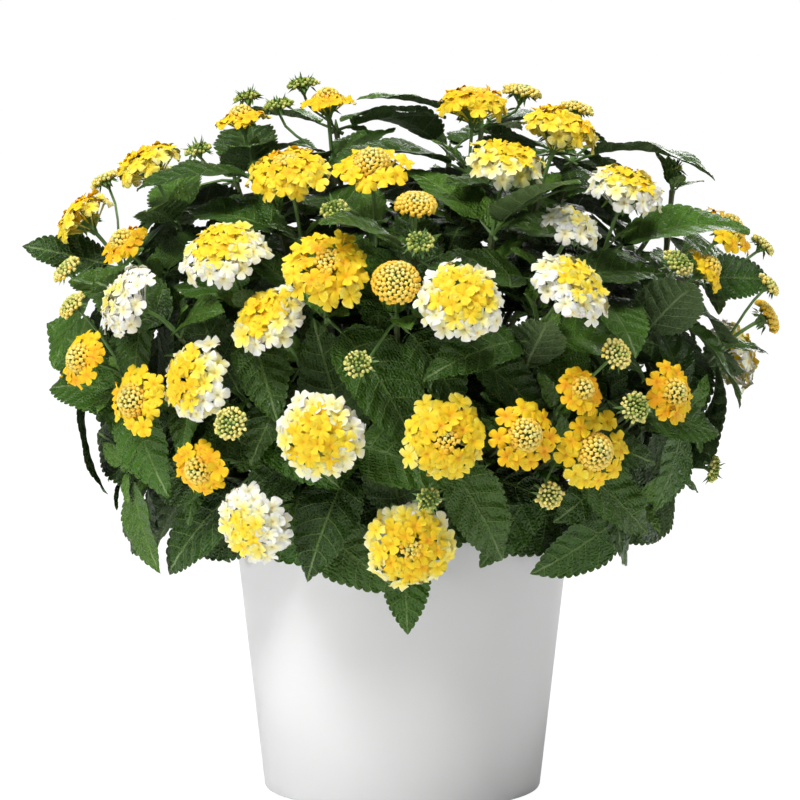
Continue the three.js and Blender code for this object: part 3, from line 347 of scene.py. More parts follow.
class Leaves:
    """All leaves as columns of one table, so that one test runs over all of them at once."""

    MOST = 700

    def __init__(self):
        self.count = 0
        self.vectors = {k: np.zeros((self.MOST, 3)) for k in ("root", "along", "face", "across", "middle")}
        self.numbers = {k: np.zeros(self.MOST) for k in ("petiole", "long", "width", "curl")}
        self.grid = np.zeros((self.MOST, 15, 3))
        self.hosts = []  # the shoot and the step of each leaf

    def add(self, leaf, shoot, step):
        for k, column in (*self.vectors.items(), *self.numbers.items()):
            column[self.count] = leaf[k]
        self.grid[self.count] = leaf["grid"]
        self.hosts.append((shoot, step))
        self.count += 1

    def pick(self, which):
        """Some of the leaves, shaped to be tested against rows of points."""
        picked = {k: column[which][:, None, :] for k, column in self.vectors.items()}
        picked.update({k: column[which][:, None] for k, column in self.numbers.items()})
        return picked

    def one(self, index):
        return {k: column[index] for k, column in (*self.vectors.items(), *self.numbers.items())}


def leaf_points(leaf, s, v, lift=0.0):
    """Points of a leaf: s along the rib, v across, lift off its face. The rib is an arc that curls
    away from the upper face, and the halves fold up from it."""
    angle = leaf["curl"] * s / leaf["long"]
    bow = leaf["long"] / leaf["curl"]
    rise = np.abs(v) * LEAF["fold"] + lift
    along = (bow + rise) * np.sin(angle)
    above = bow * (np.cos(angle) - 1) + rise * np.cos(angle)
    flat = np.multiply.outer(along, leaf["along"]) + np.multiply.outer(above, leaf["face"])
    return leaf["root"] + flat + np.multiply.outer(v, leaf["across"])


def leaf_local(leaf, p):
    """The same places backwards: s, v and the height above the blade."""
    bow = leaf["long"] / leaf["curl"]
    q = p - leaf["root"]
    x = (q * leaf["along"]).sum(-1)
    y = (q * leaf["face"]).sum(-1) + bow
    v = (q * leaf["across"]).sum(-1)
    return np.arctan2(x, y) * bow, v, np.hypot(x, y) - bow - np.abs(v) * LEAF["fold"]


def leaf_half(leaf, s):
    t = (s - leaf["petiole"]) / (leaf["long"] - leaf["petiole"])
    return np.where(t <= 0, 1, np.maximum(1, blade_half(t) * leaf["width"]))


GRID_AT = np.array([0.3, 0.5, 0.7, 0.86, 0.99])
GRID_EDGES = [(3 * i + j, 3 * i + j + 1) for i in range(5) for j in (0, 1)]
GRID_EDGES += [(3 * i - 3 + j, 3 * i + j) for i in range(1, 5) for j in range(3)]
EDGE_FROM = [a for a, _ in GRID_EDGES]
EDGE_TO = [b for _, b in GRID_EDGES]


def make_leaf(shoot, at, azimuth, tilt, length, width_share, curl):
    a, e = math.radians(azimuth), math.radians(tilt)
    radial = shoot.side * math.cos(a) + shoot.down * math.sin(a)
    along = radial * math.cos(e) + shoot.axis * math.sin(e)
    face = shoot.axis * math.cos(e) - radial * math.sin(e)
    petiole = length * LEAF["petiole"]
    leaf = {
        "root": at, "along": along, "face": face, "across": np.cross(along, face),
        "petiole": petiole, "long": length + petiole, "width": length * width_share,
        "curl": math.radians(curl),
    }
    s = GRID_AT * leaf["long"]
    half = leaf_half(leaf, s) * 0.95
    across = np.stack([-half, half * 0, half], 1).ravel()
    leaf["grid"] = leaf_points(leaf, np.repeat(s, 3), across)
    leaf["middle"] = leaf_points(leaf, np.array(leaf["long"] * 0.55), np.array(0.0))
    return leaf


def pierces(leaf, p, q, gap):
    """True where the line from p to q passes through the blade, or an end lies nearer to it than gap."""
    s0, v0, w0 = leaf_local(leaf, p)
    s1, v1, w1 = leaf_local(leaf, q)

    def inside(s, v):
        on_blade = (s > leaf["petiole"] * 0.8) & (s < leaf["long"] + 1)
        return on_blade & (np.abs(v) < leaf_half(leaf, s) + 1)

    near = ((np.abs(w0) < gap) & inside(s0, v0)) | ((np.abs(w1) < gap) & inside(s1, v1))
    passes = w0 * w1 < 0
    k = w0 / np.where(passes, w0 - w1, 1)
    return near | (passes & inside(s0 + (s1 - s0) * k, v0 + (v1 - v0) * k))


solid_heads = [s.head for s in blooms] + buds
HEAD_MIDDLE = np.array([h["middle"] for h in solid_heads])
HEAD_FACE = np.array([h["face"] for h in solid_heads])
HEAD_WIDTH = np.array([h["width"] for h in solid_heads], float)

line_ends = []
for s in shoots:
    line_ends += [(bezier(s.twig, i / 4), bezier(s.twig, (i + 1) / 4)) for i in range(4)]
for s in blooms:
    line_ends += [(bezier(s.peduncle, i / 3), bezier(s.peduncle, (i + 1) / 3)) for i in range(3)]
for b in buds:
    line_ends += [(bezier(b["path"], i / 3), bezier(b["path"], (i + 1) / 3)) for i in range(3)]
for main in mains:
    line_ends += list(zip([main.foot] + main.knees[:-1], main.knees))
LINE_FROM = np.array([p for p, _ in line_ends])
LINE_TO = np.array([q for _, q in line_ends])
LINE_LONG = np.linalg.norm(LINE_FROM - LINE_TO, axis=1)


def pot_radius(z):
    return POT["base"] + (POT["rim"] - POT["base"]) * z / POT["height"]


def clear(leaf, placed):
    """True if a leaf keeps clear of the pot, the heads, the stalks and the leaves placed before it."""
    points = leaf["grid"]
    out = np.hypot(points[:, 0], points[:, 1])
    in_front = (points[:, 1] < 0) & (np.abs(points[:, 0]) < HANG["beside"])
    if (points[:, 2] < np.where(in_front, HANG["longest"], HANG["least"])).any():
        return False
    around = np.hypot(points[:, 0], points[:, 1] * MOUND["wide"] / MOUND["deep"])
    flare = FLARE["wide"] + (points[:, 2] - FLARE["from"]) * FLARE["slope"]
    if (around > np.minimum(flare, FLARE["most"])).any():
        return False
    below_rim = points[:, 2] < POT["height"] + LEAF["pot_gap"]
    if (below_rim & (out < pot_radius(points[:, 2]) + LEAF["pot_gap"])).any():
        return False
    apart = np.linalg.norm(HEAD_MIDDLE - leaf["middle"], axis=1)
    near = apart <= leaf["long"] * 0.6 + HEAD_WIDTH
    reach = HEAD_WIDTH[near][:, None] / 2 + LEAF["head_gap"]
    q = points - HEAD_MIDDLE[near][:, None, :]
    high = (q * HEAD_FACE[near][:, None, :]).sum(-1)
    wide = np.maximum(0, (q * q).sum(-1) - high * high)
    if (wide / reach**2 + (high / (reach * 0.7)) ** 2 < 1).any():
        return False
    near = np.linalg.norm(LINE_FROM - leaf["middle"], axis=1) <= leaf["long"] * 0.6 + LINE_LONG + 4
    if pierces(leaf, LINE_FROM[near], LINE_TO[near], LEAF["stalk_gap"]).any():
        return False
    n = placed.count
    apart = np.linalg.norm(placed.vectors["middle"][:n] - leaf["middle"], axis=1)
    near = np.nonzero(apart <= (leaf["long"] + placed.numbers["long"][:n]) * 0.58)[0]
    if not len(near):
        return True
    if pierces(placed.pick(near), points[EDGE_FROM], points[EDGE_TO], LEAF["leaf_gap"]).any():
        return False
    others = placed.grid[near]
    ends = others[:, EDGE_FROM].reshape(-1, 3), others[:, EDGE_TO].reshape(-1, 3)
    return not pierces(leaf, *ends, LEAF["leaf_gap"]).any()


# Turns and tilts that are tried in order until a leaf is clear of its neighbours, then smaller ones.
TRIES = []
TILT_A_TURN = 1.2  # degrees of tilt for each degree of turn
for share in (1, 0.88, 0.76):
    TRIES.append((0, 0, share))
    for reach in (11, 22, 33):
        for turn, tilt in ((1, 0), (-1, 0), (0, 1), (0, -1), (1, 1), (-1, 1), (1, -1), (-1, -1)):
            TRIES.append((turn * reach, tilt * reach * TILT_A_TURN, share))


def place_leaf(shoot, at, azimuth, tilt, length, width_share, curl, step):
    for turn, lean, share in TRIES:
        leaf = make_leaf(shoot, at, azimuth + turn, tilt + lean, length * share, width_share, curl)
        if clear(leaf, leaves):
            leaves.add(leaf, shoot, step)
            return


def pair_share(shoot, step):
    """Where along the twig the leaf pair of a step sits: 0 is the uppermost one."""
    return max(0.4 / step, 1 - PAIR_SPACING * step / shoot.span)


def leaf_pair(shoot, step, length_share):
    at = bezier(shoot.twig, pair_share(shoot, step)) if step else shoot.node
    for half in (0, 1):
        own = shoot.draws[(step * 2 + half) % 8]
        other = shoot.draws[(step * 2 + half + 5) % 8]
        length = BLADE["length"] * shoot.length * length_share * (1 + BLADE_SPREAD["length"] * (own - 0.5))
        azimuth = shoot.roll + 90 * step + 180 * half
        width = BLADE["width"] * (1 + BLADE_SPREAD["width"] * (other - 0.5))
        tilt = BLADE["tilt"] + BLADE_SPREAD["tilt"] * (other - 0.5)
        curl = BLADE["curl"] + BLADE_SPREAD["curl"] * (own - 0.5)
        place_leaf(shoot, at, azimuth, tilt, length, width, curl, step)


LOWER_PAIR = 1.08  # how much longer the leaves of a lower pair are
leaves = Leaves()
for s in shoots:
    leaf_pair(s, 0, 1)
for s in shoots:
    if not s.head or s.node[2] < LOW_SHOOT:
        leaf_pair(s, 1, LOWER_PAIR)


# Leaves that the solids leave out: the pairs lower on each shoot and the small ones in the axils.
AXIL = {"length": 19, "spread": 9, "width": 0.56, "tilt": 52, "turn": 28, "curl": 38, "step": 3}
LONG_SHOOT = 2.6 * PAIR_SPACING
LOWEST_PAIR = 0.84  # the length of its leaves, as a share of the others'


def axil_leaves(shoot, step):
    at = bezier(shoot.twig, pair_share(shoot, step)) if step else shoot.node
    for half in (0, 1):
        own = shoot.draws[(step + half + 2) % 8]
        turn = AXIL["turn"] if own > 0.5 else -AXIL["turn"]
        azimuth = shoot.roll + 90 * step + 180 * half + turn
        length = AXIL["length"] + AXIL["spread"] * (own - 0.5)
        place_leaf(shoot, at, azimuth, AXIL["tilt"], length, AXIL["width"], AXIL["curl"], AXIL["step"])


for s in shoots:
    if s.head and s.node[2] >= LOW_SHOOT:
        leaf_pair(s, 1, 1.0)
for s in shoots:
    axil_leaves(s, 0)
for s in shoots:
    if s.span > LONG_SHOOT:
        leaf_pair(s, 2, LOWEST_PAIR)
for s in shoots:
    axil_leaves(s, 1)

# A young tip that stands up over the mound, with small leaves and a green cluster.
YOUNG_TIP = {
    "host": (139, -13, 254), "node": (131, -22, 296), "lean": (0.10, -0.12, 1.0),
    "leaves_host": 0.75, "roll": 15, "arm": 0.35, "blade_width": 0.6, "curl": 25,
}
YOUNG_TIP_LEAVES = ((20, 70, 240), (15, 30, 60), (16, 72, 330), (13, 52, 150))  # length, tilt, turn
YOUNG_STALK = (0, 3, 6, 9)  # how far up the tip's axis the stalk of its cluster runs
YOUNG_BUD = {"above_stalk": 2, "width": 7, "ripe": 0.05}
# Leaves that reach out past the others on either side: the host shoot's place, direction, length.
FAR_LEAVES = (
    ((-137, -16, 257), (-1, 0.0, 0.30), 44),
    ((139, -13, 254), (1, 0.4, -0.02), 44),
)
FAR_ROLL = math.radians(52)  # how far their faces turn to the front
FAR_BLADE = {"width": 0.52, "curl": 14, "step": 2}


def shoot_near(place):
    return min(shoots, key=lambda s: size(s.node - place))


def young_tip():
    node = np.array(YOUNG_TIP["node"], float)
    host = shoot_near(YOUNG_TIP["host"])
    start = bezier(host.twig, YOUNG_TIP["leaves_host"])
    tip = Shoot(None, node, unit(np.array(YOUNG_TIP["lean"])), YOUNG_TIP["roll"], draw)
    tip.stem, tip.span = host.stem, size(node - start)
    arm = tip.span * YOUNG_TIP["arm"]
    tip.twig = [start, start + host.axis * arm * 0.5, node - tip.axis * arm, node]
    for length, tilt, turn in YOUNG_TIP_LEAVES:
        leaf = make_leaf(tip, node, turn, tilt, length, YOUNG_TIP["blade_width"], YOUNG_TIP["curl"])
        leaves.add(leaf, tip, AXIL["step"])
    path = [node + tip.axis * k for k in YOUNG_STALK]
    middle = path[3] + tip.axis * YOUNG_BUD["above_stalk"]
    tip.bud = {**YOUNG_BUD, "middle": middle, "face": tip.axis, "base": path[3], "path": path}
    shoots.append(tip)


def far_leaf(place, toward, length):
    host = shoot_near(place)
    toward = unit(np.array(toward, float))
    azimuth = math.degrees(math.atan2(toward @ host.down, toward @ host.side))
    tilt = math.degrees(math.asin(toward @ host.axis))
    leaf = make_leaf(host, host.node, azimuth, tilt, length, FAR_BLADE["width"], FAR_BLADE["curl"])
    roll = math.copysign(FAR_ROLL, -leaf["across"][1])
    face, across = leaf["face"], leaf["across"]
    leaf["face"] = face * math.cos(roll) + across * math.sin(roll)
    leaf["across"] = across * math.cos(roll) - face * math.sin(roll)
    leaves.add(leaf, host, FAR_BLADE["step"])


young_tip()
for far in FAR_LEAVES:
    far_leaf(*far)


# ---------------------------------------------------------------- gathering meshes
MM = 0.001
FULL_TURN = 6.3  # turns are stored as a share of this
ALONG = 20  # millimetres along a stalk are stored as a share of this
KIND = {"top": 0, "under": 1, "stalk": 2, "bud": 3}
PETAL_KIND = {"petal": 0, "bud": 1, "green": 2}
rng = np.random.default_rng(4)


def units(rows):
    return rows / np.linalg.norm(rows, axis=1)[:, None]


def circle(sides):
    return np.arange(sides) * 2 * math.pi / sides


def stacked(shape, *columns):
    """Columns spread out to one shape and laid side by side."""
    return np.stack([np.broadcast_to(column, shape) for column in columns], -1)


def spread_form(x, y, z, u, v, w):
    """Copies of a unit form, its x, y and z laid along each copy's own three directions."""
    return x[..., None] * u[:, None] + y[..., None] * v[:, None] + z[..., None] * w[:, None]


def ring_faces(rings, sides, close_last=False):
    i, j = np.meshgrid(np.arange(rings - 1), np.arange(sides), indexing="ij")
    a = (i * sides + j).ravel()
    b = (i * sides + (j + 1) % sides).ravel()
    faces = np.concatenate([np.stack([a, b, b + sides], 1), np.stack([a, b + sides, a + sides], 1)])
    if close_last:
        last = (rings - 1) * sides
        faces = np.concatenate([faces, [[last, last + k, last + k + 1] for k in range(1, sides - 1)]])
    return faces


def capped_faces(rings, sides):
    """Rings that face the other way, closed by a fan round the first point."""
    fan = [[0, 1 + j, 1 + (j + 1) % sides] for j in range(sides)]
    return np.concatenate([fan, 1 + ring_faces(rings, sides)[:, ::-1]])


class Gathered:
    """Points, triangles, their material and two vectors a point, which the materials read."""

    def __init__(self):
        self.points, self.triangles, self.kinds = [], [], []
        self.place, self.shade = [], []
        self.count = 0

    def add(self, points, triangles, kind, place, shade):
        n = len(points)
        self.points.append(points)
        self.triangles.append(np.asarray(triangles) + self.count)
        self.kinds.append(np.broadcast_to(kind, len(triangles)))
        self.place.append(np.broadcast_to(place, (n, 3)))
        self.shade.append(np.broadcast_to(shade, (n, 3)))
        self.count += n

    def add_copies(self, points, triangles, kind, place, shade):
        """Copies of one form: points, place and shade are (copies, points, 3)."""
        copies, n = points.shape[:2]
        faces = (np.asarray(triangles)[None] + np.arange(copies)[:, None, None] * n).reshape(-1, 3)
        place, shade = (np.broadcast_to(rows, points.shape).reshape(-1, 3) for rows in (place, shade))
        self.add(points.reshape(-1, 3), faces, kind, place, shade)


def piece_from(name, gathered, materials, sharp_degrees=60):
    points = np.concatenate(gathered.points).astype(np.float32) * MM
    triangles = np.concatenate(gathered.triangles).astype(np.int32)
    mesh = bpy.data.meshes.new(name)
    mesh.vertices.add(len(points))
    mesh.vertices.foreach_set("co", points.ravel())
    mesh.loops.add(3 * len(triangles))
    mesh.loops.foreach_set("vertex_index", triangles.ravel())
    mesh.polygons.add(len(triangles))
    mesh.polygons.foreach_set("loop_start", np.arange(0, 3 * len(triangles), 3, dtype=np.int32))
    for material in materials:
        mesh.materials.append(material)
    mesh.polygons.foreach_set("material_index", np.concatenate(gathered.kinds).astype(np.int32))
    mesh.polygons.foreach_set("use_smooth", np.ones(len(triangles), bool))
    for key, rows in (("place", gathered.place), ("shade", gathered.shade)):
        attribute = mesh.attributes.new(key, "FLOAT_VECTOR", "POINT")
        attribute.data.foreach_set("vector", np.concatenate(rows).astype(np.float32).ravel())
    mesh.update(calc_edges=True)
    mesh.validate()
    mesh.set_sharp_from_angle(angle=math.radians(sharp_degrees))
    piece = bpy.data.objects.new(name, mesh)
    bpy.context.scene.collection.objects.link(piece)
    return piece


def ladder(left, right, left_at, right_at):
    """Triangles between two rows of points, always stepping along the row that lies further back."""
    made = []
    i = j = 0
    while i < len(left) - 1 or j < len(right) - 1:
        step_left = j == len(right) - 1 or (i < len(left) - 1 and left_at[i + 1] <= right_at[j + 1])
        third = left[i + 1] if step_left else right[j + 1]
        if len({left[i], right[j], third}) == 3:
            made.append((left[i], right[j], third))
        if step_left:
            i += 1
        else:
            j += 1
    return made


# ---------------------------------------------------------------- the leaf's form
VEIN_SWEEP = 0.30
BASE_RAMP = 0.35
ROWS_A_VEIN = 3
COLUMNS = (0.34, 0.7)  # where they lie, as shares of the half width
TOOTH_DEPTH = 1.15
TOOTH = ((0.0, -0.85), (0.22, -0.1), (0.55, 0.35), (0.85, 0.3))  # share of a tooth, how far out


def swept(t, w):
    """Where a row that leaves the rib at t lies at a share w of the half width: veins sweep forward."""
    return t + VEIN_SWEEP * w**1.2 * np.minimum(1, t / BASE_RAMP) * (1 - t)


class LeafForm:
    """The blade's net: rows every third of a vein spacing, columns across, and a toothed margin."""

    def __init__(self, veins, teeth):
        rows = ROWS_A_VEIN * veins
        row_at = np.arange(1, rows) / rows
        teeth_at = [((k + share) / teeth, out) for k in range(teeth) for share, out in TOOTH]
        margin_at, margin_tooth = np.array(teeth_at[1:]).T
        dense = np.linspace(0, 1, 400)
        margin_row = np.interp(margin_at, swept(dense, 1.0), dense)
        # Each column: its share of the half width, and its points' places, rows and teeth.
        columns = [(w, swept(row_at, w), row_at, row_at * 0) for w in COLUMNS]
        columns.append((1.0, margin_at, margin_row, margin_tooth))
        rib, rib_at = list(range(rows + 1)), [0.0, *row_at, 1.0]
        net = [(at, 0.0, at * veins, 0.0) for at in rib_at]
        faces, margin = [], []
        for side in (1, -1):
            before, before_at = rib, rib_at
            for w, at, row, tooth in columns:
                ids = [0, *range(len(net), len(net) + len(at)), rows]
                net += [(a, side * w, r * veins, out) for a, r, out in zip(at, row, tooth)]
                at = [0.0, *at, 1.0]
                faces += [f[::side] for f in ladder(before, ids, before_at, at)]
                before, before_at = ids, at
            margin += before
        self.t, self.w, self.u, self.tooth = np.array(net).T
        # The underside shares the margin's points and has its own everywhere else.
        on_margin = np.isin(np.arange(len(net)), margin)
        self.inner = np.nonzero(~on_margin)[0]
        under = np.arange(len(net))
        under[self.inner] = len(net) + np.arange(len(self.inner))
        top = np.array(faces)
        self.faces = np.concatenate([top[:, ::-1], under[top]])
        self.kind = np.repeat([KIND["top"], KIND["under"]], len(top))
        pillow = 1 - np.cos(2 * math.pi * self.u)
        self.quilt = 0.5 * pillow * np.sin(math.pi * np.minimum(1, np.abs(self.w) + 0.12)) * (~on_margin)


BIG_LEAF, SMALL_LEAF = LeafForm(7, 15), LeafForm(4, 8)
BIG_FROM = 30  # the length of blade from which a leaf has the finer form
YOUNG_AT = (0.18, 0.06, 0.0, 0.75)  # how fresh the leaves are at each step down a shoot, and in the axils
# Where the painted shade inside the mound starts, and over how much of the mound's size it deepens.
INSIDE = {"from": 0.99, "over": 0.24}
PETIOLE = {"sides": 6, "at": (-0.4, 0.35, 0.8, 1.25), "wide": (1.05, 0.8, 0.75, 0.35), "drop": 0.25}


def depth_inside(points):
    """0 for points on the mound's surface or outside it, 1 for those well inside; the leaves are darkened by
    it as painted shade.
    """
    half = np.where(points[:, 2] > MOUND["middle"], MOUND["high"], MOUND["low"])
    out = (points - [0, 0, MOUND["middle"]]) / stacked(len(points), MOUND["wide"], MOUND["deep"], half)
    return np.clip((INSIDE["from"] - np.linalg.norm(out, axis=1)) / INSIDE["over"], 0, 1)


def add_leaf(gathered, leaf, step):
    blade = leaf["long"] - leaf["petiole"]
    form = SMALL_LEAF if blade < BIG_FROM else BIG_LEAF
    grown = min(1.0, blade / 50)
    swing, often, phase, sag, fresh, pick = rng.random(6)
    s = leaf["petiole"] + form.t * blade
    half = blade_half(form.t) * leaf["width"]
    side = np.sign(form.w)
    v = form.w * half + side * form.tooth * (TOOTH_DEPTH * grown * np.minimum(1, half / 5))
    wave = (0.5 + 0.7 * swing) * np.sin(2 * math.pi * ((1.8 + often) * form.t + phase + 0.25 * side))
    shape = form.quilt * 1.25 * grown + wave * form.w**2 * grown + (sag - 0.5) * 1.4 * form.w * form.t
    groove = -0.35 * grown * (form.w == 0)
    keel = np.where(form.w == 0, 0.75 * (1 - form.t), 0.14) * grown
    inner = form.inner
    top = leaf_points(leaf, s, v, shape + groove + 0.14 * (form.tooth == 0))
    under = leaf_points(leaf, s[inner], v[inner], (shape - keel)[inner])
    points = np.concatenate([top, under])
    place = np.stack([form.u, form.w, np.abs(v) / 10], 1)
    place = np.concatenate([place, place[inner]])
    # The third shade number, how deep inside the mound a point lies, darkens the leaf there as painted shade.
    shade = stacked(len(points), pick, YOUNG_AT[step] + 0.5 * fresh**4, depth_inside(points))
    gathered.add(points, form.faces, form.kind, place, shade)
    add_petiole(gathered, leaf, grown, pick)


def add_petiole(gathered, leaf, grown, pick):
    turn = circle(PETIOLE["sides"])
    at = np.array(PETIOLE["at"]) * leaf["petiole"]
    wide = np.array(PETIOLE["wide"]) * (0.45 + 0.55 * grown)
    s = np.repeat(at, len(turn))
    v = np.outer(wide, np.cos(turn)).ravel()
    lift = np.outer(wide, np.sin(turn)).ravel() - PETIOLE["drop"]
    place = stacked(len(s), s / ALONG, np.tile(turn, len(at)) / FULL_TURN, 0.5)
    faces = ring_faces(len(at), len(turn))
    gathered.add(leaf_points(leaf, s, v, lift), faces, KIND["stalk"], place, (pick, 0.6, 0.0))


# ---------------------------------------------------------------- stalks
TUBE_SIDES = 8
RING_EVERY = 7
CORNER_TURN = 45  # the corners of a stalk lie between its leaves


def add_tube(gathered, path, radii, shade, side=(0.31, 0.95, 0.07), square=0.1):
    """A tube along a run of points: a rounded square where square is above 0."""
    path = np.asarray(path)
    turn = circle(TUBE_SIDES)
    ring = 1 + square * np.cos(4 * turn)
    side, points = np.array(side), []
    for c, direct, radius in zip(path, units(np.gradient(path, axis=0)), radii):
        side = unit(side - direct * (side @ direct))
        third = np.cross(direct, side)
        offset = np.outer(np.cos(turn) * ring, side) + np.outer(np.sin(turn) * ring, third)
        points.append(c + offset * radius)
    points = np.concatenate(points)
    steps = np.concatenate([[0], np.cumsum(np.linalg.norm(np.diff(path, axis=0), axis=1))])
    rings, sides = len(path), len(turn)
    place = stacked(len(points), np.repeat(steps / ALONG, sides), np.tile(turn / FULL_TURN, rings), 0.5)
    gathered.add(points, ring_faces(rings, sides, True), KIND["stalk"], place, shade)


def run_of(path, at):
    return np.array([bezier(path, t) for t in at])


def add_shoot_stalks(gathered, s):
    t = np.linspace(0, 1, max(3, math.ceil(size(s.twig[3] - s.twig[0]) / RING_EVERY)) + 1)
    nodes = [pair_share(s, 1), pair_share(s, 2), 1.0]
    # Two more rings close to each leaf node, where the stalk swells.
    t = np.unique(np.clip(np.concatenate([t] + [[q - 0.03, q, q + 0.03] for q in nodes]), 0, 1))
    swell = sum(np.exp(-(((t - q) * s.span / 1.8) ** 2)) for q in nodes)
    a = math.radians(s.roll + CORNER_TURN)
    side = s.side * math.cos(a) + s.down * math.sin(a)
    pick = rng.random()
    add_tube(gathered, run_of(s.twig, t), 1.65 - 0.4 * t + 0.35 * swell, (pick, 0.35, 0.0), side)
    t = np.linspace(0, 1, 6)
    if s.head:
        path, radii = run_of(s.peduncle, t), 0.85 + 0.25 * (t - 0.4) ** 2
        radii[0] = 1.2
    else:
        path, radii = [s.node + s.axis * k for k in (-1, 1, 3.2, 5.4)], [1.3, 1.1, 0.8, 0.35]
    add_tube(gathered, path, radii, (pick, 0.8, 0.0), side)
    if s.bud:
        add_tube(gathered, run_of(s.bud["path"], t), 0.62 + 0.25 * (t - 0.6) ** 2, (pick, 0.85, 0.0))


# ---------------------------------------------------------------- florets and buds
# The edge of a lobe: the share of its turn, how far out it is, how deep it is folded.
LOBE = [
    (0.0, 0.52, 1.0), (0.11, 0.87, 0.3), (0.27, 0.98, 0.0),
    (0.5, 0.985, 0.25), (0.73, 0.98, 0.0), (0.89, 0.87, 0.3),
]
FLORET_RINGS = ((0.15, -0.05), (0.42, 0.02), (0.76, 0.03), (1.0, 0.01))  # share of the radius, height


def floret_form(*lobe_sizes):
    """An open floret of unit radius: a dimpled throat and rounded, notched, slightly folded lobes."""
    lobes = len(lobe_sizes) - 1
    lobe_at, edge, fold = np.array(LOBE).T
    turn = (np.arange(lobes)[:, None] + lobe_at).ravel() * 2 * math.pi / lobes
    reach = np.tile(edge, lobes) * np.interp(turn, np.arange(lobes + 1) * 2 * math.pi / lobes, lobe_sizes)
    points, radial = [[[0, 0, -0.16]]], [[0]]
    for share, height in FLORET_RINGS:
        r = share * (1 + (reach - 1) * share**1.4)
        z = height - 0.09 * np.tile(fold, lobes) * share
        points.append(stacked(len(turn), r * np.cos(turn), r * np.sin(turn), z))
        radial.append(np.full(len(turn), share))
    faces = capped_faces(len(FLORET_RINGS), len(turn))
    turns = np.concatenate([[0], np.tile(turn, len(FLORET_RINGS))])
    return np.concatenate(points), faces, np.concatenate(radial), turns


def bud_form(top, corners, rows):
    """A bud of unit half width with four corners. Each row: its share of the width, its height,
    how far it is cut in between the corners, and how far up the bud the material takes it to be."""
    turn = circle(8)
    corner, between = np.tile(corners, 4), np.tile([0.0, 1.0], 4)
    points, height = [[[0, 0, top[0]]]], [[top[1]]]
    for share, high, cut, up in rows:
        ring = share * corner
        points.append(stacked(8, ring * np.cos(turn), ring * np.sin(turn), high - cut * between))
        height.append([up] * 8)
    return np.concatenate(points), capped_faces(len(rows), 8), np.concatenate(height)


FLORETS = [
    floret_form(1.0, 0.9, 1.0, 0.94, 0.88, 1.0),
    floret_form(1.0, 0.92, 1.0, 0.95, 1.0),
    floret_form(0.92, 1.0, 0.88, 1.0, 0.9, 0.92),
]
# A closed bud, a square pillow with four lobes that meet in a cross, and a young one, a blunt head
# on a tapering foot.
BUD = bud_form((0.62, 0.55), (1.16, 0.80), [(0.50, 0.76, 0.12, 1), (0.98, 0.34, 0, 0.5), (0.72, -0.9, 0, 0)])
CLUB_ROWS = [
    (0.5, 1.0, 0, 1), (1.0, 0.62, 0, 0.8), (0.9, 0.0, 0, 0.5), (0.6, -1.0, 0, 0.2), (0.35, -2.6, 0, 0),
]
CLUB = bud_form((0.92, 1.0), (1.1, 0.85), CLUB_ROWS)
BUD_HIGH = 1.15
GOLDEN_ANGLE = math.radians(137.508)


def frames(normals, rolls):
    """Two directions across each normal, turned by its roll."""
    helper = np.where(np.abs(normals[:, 2:]) > 0.9, [[1.0, 0, 0]], [[0, 0, 1.0]])
    u = units(np.cross(helper, normals))
    v = np.cross(normals, u)
    c, s = np.cos(rolls)[:, None], np.sin(rolls)[:, None]
    return u * c + v * s, v * c - u * s


def frame_of(direct):
    side, third = frames(direct[None], np.zeros(1))
    return side[0], third[0]


class Dome:
    """The rounded top of a head: an ellipsoid round its middle, flatter below than above."""

    def __init__(self, head, wide, up, down):
        self.head, self.wide, self.up, self.down = head, wide, up, down
        self.polar = polar = np.radians(np.linspace(0, 120, 240))
        run = np.hypot(wide * np.cos(polar), self.high(polar) * np.sin(polar))
        ring = 2 * math.pi * wide * np.sin(polar[1:]) * run[1:] * np.diff(polar)
        self.area = np.concatenate([[0], np.cumsum(ring)])
        self.basis = np.stack([*frame_of(head["face"]), head["face"]])

    def high(self, polar):
        return np.where(polar < math.pi / 2, self.up, self.down)

    def spread(self, low, high, each, turn):
        """Polar and azimuth angles of a spiral from low to high degrees, each taking that much area."""
        first, last = np.interp(np.radians([low, high]), self.polar, self.area)
        count = max(1, round((last - first) / each))
        area = first + (last - first) * (np.arange(count) + 0.5) / count
        return np.interp(area, self.area, self.polar), turn + np.arange(count) * GOLDEN_ANGLE

    def at(self, polar, azimuth, share):
        """Places at a share of the way out to the dome, and the directions out of it there."""
        flat = np.stack([np.sin(polar) * np.cos(azimuth), np.sin(polar) * np.sin(azimuth), np.cos(polar)], 1)
        half = stacked(len(polar), self.wide, self.wide, self.high(polar))
        local = flat * half * np.reshape(share, (-1, 1))
        return self.head["middle"] + local @ self.basis, units(flat / half) @ self.basis


